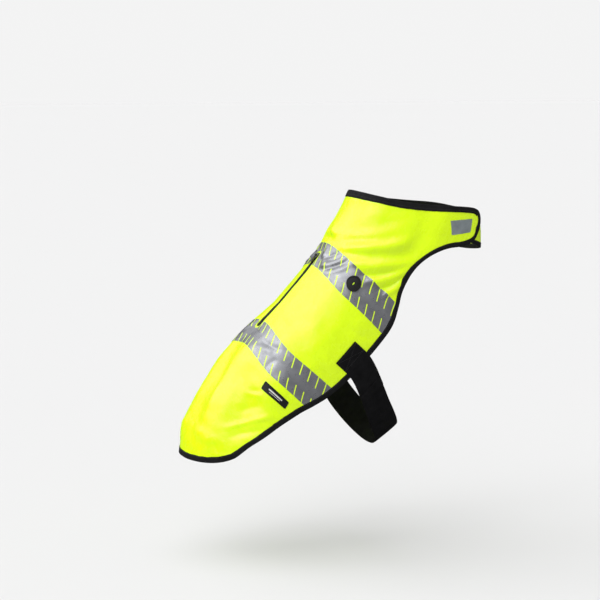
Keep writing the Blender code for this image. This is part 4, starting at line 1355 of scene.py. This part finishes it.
@dataclass
class Panel:
    """The vest's one-piece cloth, with its zip slit, and the tapes laid on the same triangles."""

    cut: CutPattern
    inner_height: float = 0.5
    outer_height: float = 1.2
    tape_height: float = 1.32
    tape_thickness: float = 0.28
    wide_step: float = 3.9
    fine_step: float = 2.7
    clear_share: float = 0.6
    busy_areas: tuple = ((44, 170, 200), (270, 346, math.inf), (505, math.inf, 120))
    zip_span: tuple[float, float] = (127.0, 299.0)
    slit_half: float = 6.3
    slit_corner: float = 0.6
    slit_step: float = 2.4
    notch_half: float = 8.2
    notch_longer: float = 3.0
    tapes: tuple = (("upper_tape", 105, 155, 5, 3), ("lower_tape", 286, 338, -8, -8))
    tape_reach: float = 204.0
    tape_past: float = 16.0
    tape_points: int = 170
    line_inset: float = 4.0
    film_inset: float = 3.0

    def tape_lines(self, tape: tuple) -> list[np.ndarray]:
        """Upper and lower edge of a tape across the panel.

        Args:
            tape: its row in the tapes.

        Returns:
            Two lines of places.
        """
        _, top, bottom, top_shift, bottom_shift = tape
        end = self.tape_reach + self.tape_past
        across = np.linspace(-end, end, self.tape_points)
        slant = (across / self.tape_reach) ** 2
        return [np.stack([edge + shift * slant, across], axis=1)
                for edge, shift in ((top, top_shift), (bottom, bottom_shift))]

    def slit(self, half: float, longer: float) -> np.ndarray:
        """Outline of the slit, wider or longer where asked.

        Args:
            half: half its width.
            longer: how much further each end goes.

        Returns:
            Its corners in order.
        """
        start, end = self.zip_span
        size = (end - start + 2 * longer, 2 * half)
        return rounded_box(((start + end) / 2, 0.0), size, half * self.slit_corner, self.slit_step)

    def notch(self) -> np.ndarray:
        """Outline that the tapes leave free round the zip."""
        return self.slit(self.notch_half, self.notch_longer)

    def lay_out(self) -> None:
        """Make the shared triangles, and work out their worn points."""
        edge, slit, notch = self.cut.edge, self.slit(self.slit_half, 0.0), self.notch()
        seam = self.cut.moved_in(self.line_inset)
        lines = [line[inside(line, seam)] for tape in self.tapes for line in self.tape_lines(tape)]
        fixed = np.concatenate([edge, slit, notch, *lines])
        fine, wide = (lattice(edge.min(axis=0), edge.max(axis=0), step)
                      for step in (self.fine_step, self.wide_step))
        spare = np.concatenate([fine[self.busy(fine)], wide[~self.busy(wide)]])
        spare = spare[inside(spare, edge) & ~inside(spare, slit)]
        spare = away_from(spare, fixed, self.fine_step * self.clear_share)
        self.places, faces = triangulate([edge, slit, notch], lines, spare)
        middle = self.places[faces].mean(axis=1)
        keep = inside(middle, edge) & ~inside(middle, slit)
        self.faces, self.middle = faces[keep], middle[keep]
        self.base, self.normal = self.cut.cloth.at(self.places)

    def busy(self, places: np.ndarray) -> np.ndarray:
        """Which places need the finer grid."""
        along, around = places.T
        return np.any([(along > start) & (along < end) & (np.abs(around) < reach)
                       for start, end, reach in self.busy_areas], axis=0)

    def raised(self, height: float) -> np.ndarray:
        """Points at a height over the cloth's inner face."""
        return self.base + self.normal * height

    def tape_span(self, tape: tuple, around: np.ndarray) -> list[np.ndarray]:
        """Where a tape starts and ends along, at distances round the figure."""
        return [np.interp(around, line[:, 1], line[:, 0]) for line in self.tape_lines(tape)]

    def on_tape(self, tape: tuple, places: np.ndarray) -> np.ndarray:
        """Which places lie on a tape, outside the notch round the zip."""
        start, end = self.tape_span(tape, places[:, 1])
        return (places[:, 0] > start) & (places[:, 0] < end) & ~inside(places, self.notch())

    def film(self, tape: tuple) -> bpy.types.Object:
        """One tape, with a UV map that follows its edges.

        Args:
            tape: its row in the tapes.

        Returns:
            The piece.
        """
        under = self.on_tape(tape, self.middle) & inside(self.middle, self.cut.moved_in(self.film_inset))
        start, end = self.tape_span(tape, self.places[:, 1])
        down = (self.places[:, 0] - start) / (end - start) * FILM.width
        uv = np.stack([-self.places[:, 1] * MM, down], axis=1)
        outer, inner = self.raised(self.tape_height + self.tape_thickness), self.raised(self.tape_height)
        strip = closed_shell(tape[0] + "_film", self.faces[under], outer, inner, uv)
        dress(strip, FILM, ZIP_WEAVE)
        return join_garment(strip, "reflective_tape", tape[0])

    def build(self) -> list[bpy.types.Object]:
        """Make the panel and its two tapes.

        Returns:
            The pieces.
        """
        self.lay_out()
        outer, inner = self.raised(self.outer_height), self.raised(self.inner_height)
        sheet = closed_shell("cloth_panel", self.faces, outer, inner, self.places[:, ::-1] * MM)
        dress(sheet, OUTER_CLOTH, LINING_CLOTH)
        join_garment(sheet, "fluorescent_cloth", "back_panel")
        return [sheet, *(self.film(tape) for tape in self.tapes)]


@dataclass
class Binding:
    """Tape folded over the cut edge, in a neck length and an edge length."""

    cut: CutPattern
    width: float = 9.2
    neck_width: float = 12.4
    thickness: float = 0.75
    edge_middle: float = 0.85
    leg_outer: float = 1.28
    leg_inner: float = 0.42
    turn_radius: float = 1.17
    turn_degrees: tuple[float, ...] = (72, 45, 18, -18, -45, -72)
    leg: tuple = (
        # share of the leg's width, more of it, height over the face
        (1, 0.08, -0.35),
        (1, -0.3, -0.02),
        (1, -1.3, -0.12),
        (0.6, 0, 0.04),
        (0.3, 0, 0.03),
        (0, 1, 0),
    )
    fold_start: float = 0.3
    fold_end: float = -0.35
    unevenness: Ripple = Ripple(17.0, 1.0, 21)
    uneven_width: float = 0.16
    uneven_height: float = 0.05
    tip: float = 2.0
    lengths: dict = field(default_factory=dict)

    def profile(self, width: float) -> list[tuple[float, float]]:
        """Cross-section of the folded tape.

        Args:
            width: how far each leg reaches into the panel.

        Returns:
            Rows of (depth into the panel, height), from the outer tip round the edge and back in the fold.
        """
        top, low = self.leg_outer + self.thickness, self.leg_inner - self.thickness
        outer = [(share * width + more, top + lift) for share, more, lift in self.leg]
        turn = [(-self.turn_radius * math.cos(a), self.edge_middle + self.turn_radius * math.sin(a))
                for a in np.radians(self.turn_degrees)]
        inner = [(share * width + more, low - lift) for share, more, lift in reversed(self.leg)]
        back = [(depth, self.leg_inner) for depth in (width, width / 2, self.fold_start)]
        back += [(self.fold_end, self.edge_middle), (self.fold_start, self.leg_outer),
                 (width / 2, self.leg_outer)]
        return [(width, self.leg_outer), *outer, *turn, *inner, *back]

    def strip(self, node: str, numbers: list[int], width: float) -> bpy.types.Object:
        """One length of binding.

        Args:
            node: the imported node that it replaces.
            numbers: the edge's points that it covers.
            width: how far each leg reaches into the panel.

        Returns:
            The piece.
        """
        cloth, inward, edge = self.cut.cloth, self.cut.inward()[numbers], self.cut.edge[numbers]
        swell = self.unevenness.at(*edge.T)
        rim, rim_up = cloth.at(edge)
        near, _ = cloth.at(edge + inward)
        rows = []
        for depth, height in self.profile(width):
            reach = depth + (self.uneven_width * swell if depth > width - self.tip else 0.0)
            if depth > 0:
                base, up = cloth.at(edge + inward * np.broadcast_to(reach, len(edge))[:, None])
            else:
                base, up = rim + (rim - near) * -depth, rim_up
            lift = height + self.uneven_height * swell * np.sign(height - self.edge_middle)
            rows.append(base + up * lift[:, None])
        name = node + "_tape"
        run, girth = run_along(rim), run_along(np.array(self.profile(width)))
        item = tube(name, np.stack(rows, axis=1), tube_uv(run, girth))
        dress(item, BLACK_BINDING)
        self.lengths[name] = float(run[-1])
        return join_garment(item, "black_binding", node)

    def build(self) -> list[bpy.types.Object]:
        """Make both lengths.

        Returns:
            The pieces.
        """
        start, end = self.cut.neck_start, self.cut.neck_end
        neck = [*range(end, len(self.cut.edge)), *range(start + 1)]
        return [self.strip("neck_binding", neck, self.neck_width),
                self.strip("edge_binding", list(range(start, end + 1)), self.width)]


@dataclass
class Webbing:
    """Sewn tab on the right, and the strap that runs from the left under the belly to it."""

    cloth: WornCloth
    width: float = 47.0
    thickness: float = 1.35
    hem: float = 2.5
    columns: int = 15
    step: float = 3.0
    patch_top: float = 178.0
    edge_around: float = 215.5
    on_cloth: float = 1.3
    over_binding: float = 2.1
    on_strap: float = 1.85
    under: float = 0.4
    rise_span: tuple[float, float] = (-14.0, -9.5)
    fall_span: tuple[float, float] = (3.0, 26.0)
    tab_end: float = 256.0
    tab_hem: tuple[float, ...] = (0.0, 0.4, 2.0, 4.5, 7.0, 9.5, 12.0, 15.0)
    strap_end: float = 234.0
    middle_gap: tuple[float, float] = (2.0, 5.0)
    side_levels: tuple[float, float] = (0.72, 0.28)
    side_bulge: float = 0.25
    lengths: tuple = ()

    def middle(self, reach: np.ndarray) -> np.ndarray:
        """Place along of the strap's middle at a distance round the figure."""
        return smooth_rows(STRAP_ROUTE, np.minimum(reach, STRAP_ROUTE[-1][0]))[:, 0]

    def rows(self, side: Side, reach: np.ndarray, height: np.ndarray,
             thickness: np.ndarray) -> np.ndarray:
        """Cross-sections of webbing.

        Args:
            side: which side they are on.
            reach: their distances round the figure.
            height: height of the under face at each.
            thickness: thickness at each.

        Returns:
            The sections, with rounded edges.
        """
        shares = np.linspace(-1, 1, self.columns)
        shares = np.concatenate([shares, shares[::-1]])
        across = shares * self.width / 2
        on_top, ends = np.repeat([1.0, 0.0], self.columns), np.abs(shares) == 1
        level = np.where(ends, np.repeat(self.side_levels, self.columns), on_top)
        lift = height[:, None] + thickness[:, None] * level
        along = self.middle(reach)[:, None] + across + np.where(ends, self.side_bulge, 0.0) * np.sign(across)
        around = np.broadcast_to(side.value * reach[:, None], along.shape)
        points, _ = self.cloth.at(np.stack([along.ravel(), around.ravel()], axis=1), lift.ravel())
        return points.reshape(len(reach), 2 * self.columns, 3)

    def ribbon(self, name: str, sections: np.ndarray, node: str) -> bpy.types.Object:
        """Webbing through sections, its under face half a width beyond the upper one in the UV map.

        Args:
            name: the piece's name.
            sections: points, by section and place round it.
            node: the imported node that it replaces.

        Returns:
            The piece.
        """
        across = np.linspace(0, self.width, self.columns)
        across = np.concatenate([across, across[::-1] + self.width * 1.5])
        item = tube(name, sections, tube_uv(run_along(sections.mean(axis=1)), across))
        dress(item, BLACK_WEBBING)
        return join_garment(item, "black_webbing", node)

    def patch_height(self, reach: np.ndarray, last: float) -> np.ndarray:
        """Height of the under face: on the cloth, over the binding, and then down to last.

        Args:
            reach: distances round the figure.
            last: the height at the end.

        Returns:
            One height for each distance.
        """
        past = reach - self.edge_around
        rise = (self.over_binding - self.on_cloth) * smooth_step(past, *self.rise_span)
        return self.on_cloth + rise + (last - self.over_binding) * smooth_step(past, *self.fall_span)

    def build(self) -> list[bpy.types.Object]:
        """Make the tab and the strap.

        Returns:
            The pieces.
        """
        top, half = self.patch_top, self.cloth.figure.half_girth(STRAP_ROUTE[-1][1])
        tab = np.concatenate([np.arange(top, self.tab_end, self.step), self.tab_end + np.array(self.tab_hem)])
        left = np.arange(top, half - self.middle_gap[0], self.step)
        right = np.arange(half - self.middle_gap[1], self.strap_end, -self.step)
        self.lengths = (tab[-1] - top, half - top + half - self.strap_end)
        thick = np.where(tab > self.tab_end, self.hem, self.thickness)
        tab_rows = self.rows(Side.RIGHT, tab, self.patch_height(tab, self.on_strap), thick)
        strap_rows = [self.rows(side, way, height, np.full(len(way), self.thickness)) for side, way, height in
                      ((Side.LEFT, left, self.patch_height(left, self.under)),
                       (Side.RIGHT, right, np.full(len(right), self.under)))]
        return [self.ribbon("sewn_tab", tab_rows, "strap_tab"),
                self.ribbon("belly_webbing", np.concatenate(strap_rows), "belly_strap")]


@dataclass
class Zip:
    """Coil zip in the slit, with its woven tape behind the cloth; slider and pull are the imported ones."""

    cloth: WornCloth
    start: float = 127.0
    end: float = 299.0
    tape_end: float = 6.0
    tape_half: float = 12.8
    tape_heights: tuple[float, float] = (-0.25, 0.3)
    tape_corner: float = 1.0
    tape_steps: tuple[float, float, float] = (2.5, 1.7, 1.0)
    chain_height: float = 1.25
    chain_inset: float = 2.0
    pitch: float = 1.5
    reach: float = 2.5
    middle_share: float = 0.48
    wire: float = 0.75
    swing: float = 0.02
    swell: float = 0.8
    swell_half: tuple[float, float] = (4.4, 6.0)
    swell_ends: tuple[float, float] = (1.0, 5.0)

    def bulge(self, places: np.ndarray) -> np.ndarray:
        """How far the woven tape swells up into the slit.

        Args:
            places: places on the cloth.

        Returns:
            One height for each place.
        """
        along, around = places.T
        across = 1 - smooth_step(np.abs(around), *self.swell_half)
        begins = smooth_step(along - self.start, *self.swell_ends)
        return self.swell * across * begins * smooth_step(self.end - along, *self.swell_ends)

    def tape(self) -> bpy.types.Object:
        """Woven tape behind the cloth.

        Returns:
            The piece.
        """
        size = (self.end - self.start + 2 * self.tape_end, 2 * self.tape_half)
        edge_step, grid_step, apart = self.tape_steps
        outline = rounded_box(((self.start + self.end) / 2, 0.0), size, self.tape_corner, edge_step)
        shape = filled(outline, grid_step, apart)
        heights = tuple(height + self.bulge(shape[0]) for height in self.tape_heights)
        return laid_piece(self.cloth, "zip_woven_tape", shape, heights, ZIP_WEAVE, "black_coil", "zip_chain")

    def coil(self) -> bpy.types.Object:
        """Closed coil, with the teeth of one side between those of the other.

        Returns:
            The piece.
        """
        rows = Rows(Unit.COIL, self.reach, self.wire, self.swing)
        for sign in (-1, 1):
            first = self.start + self.chain_inset + (sign > 0) * self.pitch / 2
            line = np.array([(along, sign * self.reach * self.middle_share)
                             for along in np.arange(first, self.end - self.chain_inset, 0.5)])
            rows.follow(self.cloth, line, self.pitch, self.chain_height)
            rows.headings[-1] = rows.headings[-1] * sign
        return join_garment(rows.piece("zip_coil", NYLON, 4), "black_coil")

    def build(self) -> list[bpy.types.Object]:
        """Make the woven tape and the coil, and dress the slider and pull.

        Returns:
            The pieces.
        """
        made = [self.tape(), self.coil()]
        for name in ("zip_slider", "zip_pull"):
            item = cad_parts[name]
            item.data.materials.clear()
            dress(item, PAINTED)
            LOG.info("%s: packed node, painted", name)
        return made


@dataclass
class Plate:
    """Moulded rubber piece on the cloth: a sheet whose height changes from its rim to its middle."""

    cloth: WornCloth
    name: str
    node: str
    outline: np.ndarray
    base: float
    rim: float
    field_height: float
    rim_width: float
    step: float = 1.0
    grid_share: float = 1.6
    side_share: float = 0.75
    round_over: float = 0.3
    slope: float = 0.35

    def levels(self) -> tuple:
        """Inward distance and height of each line from the side to the middle."""
        return ((0.0, self.rim * self.side_share), (self.round_over, self.rim),
                (self.rim_width - self.slope, self.rim), (self.rim_width, self.field_height))

    def build(self) -> bpy.types.Object:
        """Make the plate.

        Returns:
            The piece.
        """
        side = crosswise(self.outline)
        side *= np.sign(((self.outline.mean(axis=0) - self.outline) * side).sum(axis=1))[:, None]
        lines = [self.outline + side * depth for depth, _ in self.levels()]
        places, faces = filled(lines[-1], self.step * self.grid_share, self.step, tuple(lines[:-1]))
        faces = faces[inside(places[faces].mean(axis=1), self.outline)]
        known = np.concatenate(lines)
        level = np.repeat([height for _, height in self.levels()], len(self.outline))
        gap = np.hypot(places[:, None, 0] - known[None, :, 0], places[:, None, 1] - known[None, :, 1])
        height = np.where(gap.min(axis=1) < ON_LINE, level[gap.argmin(axis=1)], self.field_height)
        return laid_piece(self.cloth, self.name, (places, faces), (self.base, self.base + height), RUBBER,
                          "black_rubber", self.node)


def ring(centre: tuple[float, float], radius: float, count: int) -> np.ndarray:
    """Circle of places."""
    turns = np.linspace(0, 2 * math.pi, count, endpoint=False)
    return np.stack([centre[0] + radius * np.cos(turns), centre[1] + radius * np.sin(turns)], axis=1)


@dataclass
class SmallParts:
    """Label, badge and the grey strip on the chest lap."""

    cloth: WornCloth
    label_centre: tuple[float, float] = (359.0, -134.0)
    label_size: tuple[float, float] = (18.0, 55.0)
    label_bars: tuple = (("label_bar_wide", -1.2, (3.0, 30.0)), ("label_bar_thin", 3.2, (0.9, 24.0)))
    badge_centre: tuple[float, float] = (129.0, -112.0)
    badge_radius: float = 13.3
    badge_bar: tuple[float, float] = (5.0, 1.7)
    chest: tuple = ((31, -211), (49, -224), (43, -262), (22, -256))
    chest_heights: tuple[float, float] = (1.28, 1.6)

    def mark(self, name: str, outline: np.ndarray, plate: Plate, rise: float,
             finish: Finish) -> bpy.types.Object:
        """Thin flat mark set into a plate.

        Args:
            name: the piece's name.
            outline: its outline.
            plate: what it is on.
            rise: how far it stands over the plate's field.
            finish: its finish.

        Returns:
            The piece.
        """
        places, faces = triangulate([outline], [], np.empty((0, 2)))
        faces = faces[inside(places[faces].mean(axis=1), outline)]
        heights = tuple(plate.base + plate.field_height + height for height in (0.02, rise))
        return laid_piece(self.cloth, name, (places, faces), heights, finish, "black_rubber")

    def build(self) -> list[bpy.types.Object]:
        """Make every small part.

        Returns:
            The pieces.
        """
        box = rounded_box(self.label_centre, self.label_size, 2.4, 1.2)
        label = Plate(self.cloth, "label_plate", "label", box, base=1.25, rim=0.95, field_height=0.62,
                      rim_width=1.1)
        circle = ring(self.badge_centre, self.badge_radius, 72)
        badge = Plate(self.cloth, "badge_disc", "badge", circle, base=1.65, rim=2.9, field_height=2.1,
                      rim_width=2.4)
        made = [label.build(), badge.build()]
        for name, shift, size in self.label_bars:
            centre = (self.label_centre[0] + shift, self.label_centre[1])
            box = rounded_box(centre, size, min(size) * 0.3, 1.5)
            made.append(self.mark(name, box, label, 0.12, PALE_PRINT))
        box = rounded_box(self.badge_centre, self.badge_bar, 0.6, 0.5)
        made.append(self.mark("badge_bar", box, badge, 0.2, LIME_INLAY))
        outline = evenly(np.array(self.chest, float), 2.4, closed=True)
        made.append(laid_piece(self.cloth, "chest_strip", filled(outline, 2.6, 1.5), self.chest_heights,
                               PLAIN_FILM, "grey_tape", "chest_tape"))
        return made


@dataclass
class Sewing:
    """Every row of stitches."""

    cut: CutPattern
    panel: Panel
    bound: Binding
    webbing: Webbing
    pitch: float = 3.1
    length: float = 2.5
    thread: float = 0.5
    sink: float = 0.02
    binding_inset: float = 1.7
    tape_inset: float = 1.7
    tape_end: float = 8.0
    zip_clear: float = 7.5
    zip_rows: tuple[float, float] = (7.3, 10.2)
    box_along: tuple[float, float] = (198.5, 243.5)
    box_inset: tuple[float, float] = (3.0, 15.0)

    def rows(self) -> Rows:
        """Empty set of stitch rows."""
        return Rows(Unit.THREAD, self.length, self.thread)

    def binding(self) -> Rows:
        """One row round the whole edge, on both faces of the binding.

        Returns:
            The rows.
        """
        rows, bound = self.rows(), self.bound
        line = looped(self.cut.moved_in(bound.width - self.binding_inset))
        outer = bound.leg_outer + bound.thickness - self.sink
        inner = bound.leg_inner - bound.thickness + self.sink
        rows.follow(self.cut.cloth, line, self.pitch, outer)
        rows.follow(self.cut.cloth, line, self.pitch, inner, flip=True)
        return rows

    def tapes(self) -> Rows:
        """A row beside each edge of the tapes, on both faces of the cloth.

        Returns:
            The rows.
        """
        rows, end = self.rows(), self.cut.moved_in(self.tape_end)
        for tape in self.panel.tapes:
            for line, sign in zip(self.panel.tape_lines(tape), (1, -1)):
                line = line + np.array([sign * self.tape_inset, 0.0])
                line = line[inside(line, end)]
                for part in (line[line[:, 1] < -self.zip_clear], line[line[:, 1] > self.zip_clear]):
                    rows.follow(self.cut.cloth, part, self.pitch, self.film_top() + self.sink)
                rows.follow(self.cut.cloth, line, self.pitch, self.panel.inner_height - self.sink, flip=True)
        return rows

    def film_top(self) -> float:
        """Height of the tapes' outer face."""
        return self.panel.tape_height + self.panel.tape_thickness

    def slit(self) -> Rows:
        """Two rows round the zip, over the tapes' ends.

        Returns:
            The rows.
        """
        rows, panel = self.rows(), self.panel
        for half in self.zip_rows:
            line = looped(panel.slit(half, half - panel.slit_half))
            on_film = np.any([panel.on_tape(tape, line) for tape in panel.tapes], axis=0)
            height = np.where(on_film, self.film_top(), panel.outer_height) + self.sink
            rows.follow(self.cut.cloth, line, self.pitch, height)
        return rows

    def straps(self) -> Rows:
        """A crossed box on each end of the webbing that is sewn to the panel.

        Returns:
            The rows.
        """
        rows, web = self.rows(), self.webbing
        top, bottom = web.patch_top + self.box_inset[0], web.edge_around - self.box_inset[1]
        start, end = self.box_along
        corners = [(start, top), (end, top), (end, bottom), (start, bottom)]
        for side in Side:
            for path in ([*corners, corners[0]], corners[::2], corners[1::2]):
                line = evenly(np.array(path, float) * (1, side.value), 1.0)
                rows.follow(self.cut.cloth, line, self.pitch, web.on_cloth + web.thickness + self.sink)
        return rows

    def build(self) -> list[bpy.types.Object]:
        """Make the stitches of bindings, tapes, zip and webbing."""
        kinds = (("binding_stitches", self.binding(), BLACK_THREAD, 1, "black_binding"),
                 ("tape_stitches", self.tapes(), GREY_THREAD, 2, "reflective_tape"),
                 ("zip_stitches", self.slit(), YELLOW_THREAD, 3, "fluorescent_cloth"),
                 ("strap_stitches", self.straps(), BLACK_THREAD, 5, "black_webbing"))
        return [join_garment(rows.piece(name, thread, seed), slot)
                for name, rows, thread, seed, slot in kinds]


@dataclass
class Studio:
    """Pale floor, soft light and the camera."""

    floor_height: float = -0.545
    eye_distance: float = 3.4
    turn: float = -20.0
    rise: float = 7.0
    target: tuple[float, float, float] = (-0.040508, 0.003201, -0.088337)
    lens: float = 114.6
    pale: tuple[float, float, float] = (0.9, 0.9, 0.9)
    soft: tuple[float, float, float] = (0.08, 0.08, 0.082)
    soft_mirrored: tuple[float, float, float] = (0.06, 0.06, 0.062)
    floor_half: float = 40000.0
    floor_shade: float = 0.45
    floor_glow: float = 0.255
    lights: tuple = (
        # name, where it stands seen from the vest, strength, how wide it looks in degrees
        ("key_side", (-0.49, -0.54, 0.68), 0.95, 44),
        ("key_back", (-0.71, -0.15, 0.68), 1.05, 44),
        ("key_far", (-0.66, 0.33, 0.67), 0.85, 44),
        ("key_rear", (-0.4, 0.6, 0.69), 0.9, 60),
        ("key_top", (-0.15, -0.16, 0.97), 1.0, 46),
        ("sky", (0.1, -0.3, 0.95), 0.4, 170),
        ("fill", (0.45, -0.85, 0.3), 0.6, 150),
    )

    def camera(self) -> None:
        """Create the camera at the photograph's angle."""
        data = bpy.data.cameras.new("view")
        data.lens, data.sensor_width = self.lens, 36.0
        camera = add_object("view", data)
        a, e = math.radians(self.turn), math.radians(self.rise)
        back = Vector((math.sin(a) * math.cos(e), -math.cos(a) * math.cos(e), math.sin(e)))
        camera.location = Vector(self.target) + back * self.eye_distance
        camera.rotation_euler = (-back).to_track_quat("-Z", "Y").to_euler()
        bpy.context.scene.camera = camera

    def light(self, name: str, direction: tuple, strength: float, spread: float) -> None:
        """Create one broad far light.

        Args:
            name: its name.
            direction: where it stands, seen from the vest.
            strength: its strength.
            spread: how wide it looks, in degrees.
        """
        data = bpy.data.lights.new(name, "SUN")
        data.energy, data.angle = strength, math.radians(spread)
        item = add_object(name, data)
        item.rotation_euler = Vector(direction).to_track_quat("Z", "Y").to_euler()

    def floor(self) -> None:
        """Create the pale floor."""
        corners = np.array([(-1, -1, 0), (1, -1, 0), (1, 1, 0), (-1, 1, 0)], float) * self.floor_half
        floor = make_piece("floor", corners + [0, 0, self.floor_height / MM], [[0, 1, 2, 3]])
        material = bpy.data.materials.new("pale_floor")
        material.use_nodes = True
        shader = material.node_tree.nodes["Principled BSDF"]
        constants = {"Base Color": (*[self.floor_shade] * 3, 1.0), "Roughness": 0.9,
                     "Specular IOR Level": 0.0, "Emission Color": (1.0, 1.0, 1.0, 1.0),
                     "Emission Strength": self.floor_glow}
        for key, value in constants.items():
            shader.inputs[key].default_value = value
        floor.data.materials.append(material)
        floor.visible_glossy = False

    def world(self) -> None:
        """Create the pale background, which lights the vest only a little."""
        world = bpy.data.worlds.new("studio")
        bpy.context.scene.world = world
        world.use_nodes = True
        nodes = Nodes(world.node_tree)
        path = nodes.add("ShaderNodeLightPath")
        soft = nodes.blend(path.outputs["Is Glossy Ray"], (*self.soft, 1.0), (*self.soft_mirrored, 1.0))
        shown = nodes.blend(path.outputs["Is Camera Ray"], soft, (*self.pale, 1.0))
        nodes.feed(world.node_tree.nodes["Background"].inputs["Color"], shown)

    def build(self) -> None:
        """Make floor, world, lights and camera."""
        self.floor()
        self.world()
        for row in self.lights:
            self.light(*row)
        self.camera()
        settings = bpy.context.scene.view_settings
        settings.view_transform = "Standard"
        settings.look = "None"


def declare_sheets(bound: Binding, webbing: Webbing) -> None:
    """List how large each sheet of cloth was cut and what it lies on, and then drop the list.

    Args:
        bound: the binding.
        webbing: the webbing.
    """
    rows = [("upper_tape_film", (0.412, 0.050), "laid"), ("lower_tape_film", (0.400, 0.052), "laid")]
    for name, width in (("neck_binding_tape", bound.neck_width), ("edge_binding_tape", bound.width)):
        rows.append((name, (2 * width * MM + 0.003, bound.lengths[name] * MM), "folded"))
    for name, length in zip(("sewn_tab", "belly_webbing"), webbing.lengths):
        rows.append((name, (webbing.width * MM, length * MM), "laid"))
    rows += [("zip_woven_tape", (0.0256, 0.184), "laid"), ("chest_strip", (0.044, 0.028), "laid")]


def main() -> None:
    """Build the vest, its studio and its camera."""
    logging.basicConfig(level=logging.INFO, format="%(message)s")
    studio = Studio()
    studio.build()
    cloth = WornCloth(Figure())
    cut = CutPattern(cloth)
    panel, bound, webbing = Panel(cut), Binding(cut), Webbing(cloth)
    for part in (panel, bound, webbing, Zip(cloth), SmallParts(cloth), Sewing(cut, panel, bound, webbing)):
        made = part.build()
        LOG.info("%s made %d pieces", type(part).__name__, len(made))
    declare_sheets(bound, webbing)


if __name__ == "__main__":
    main()
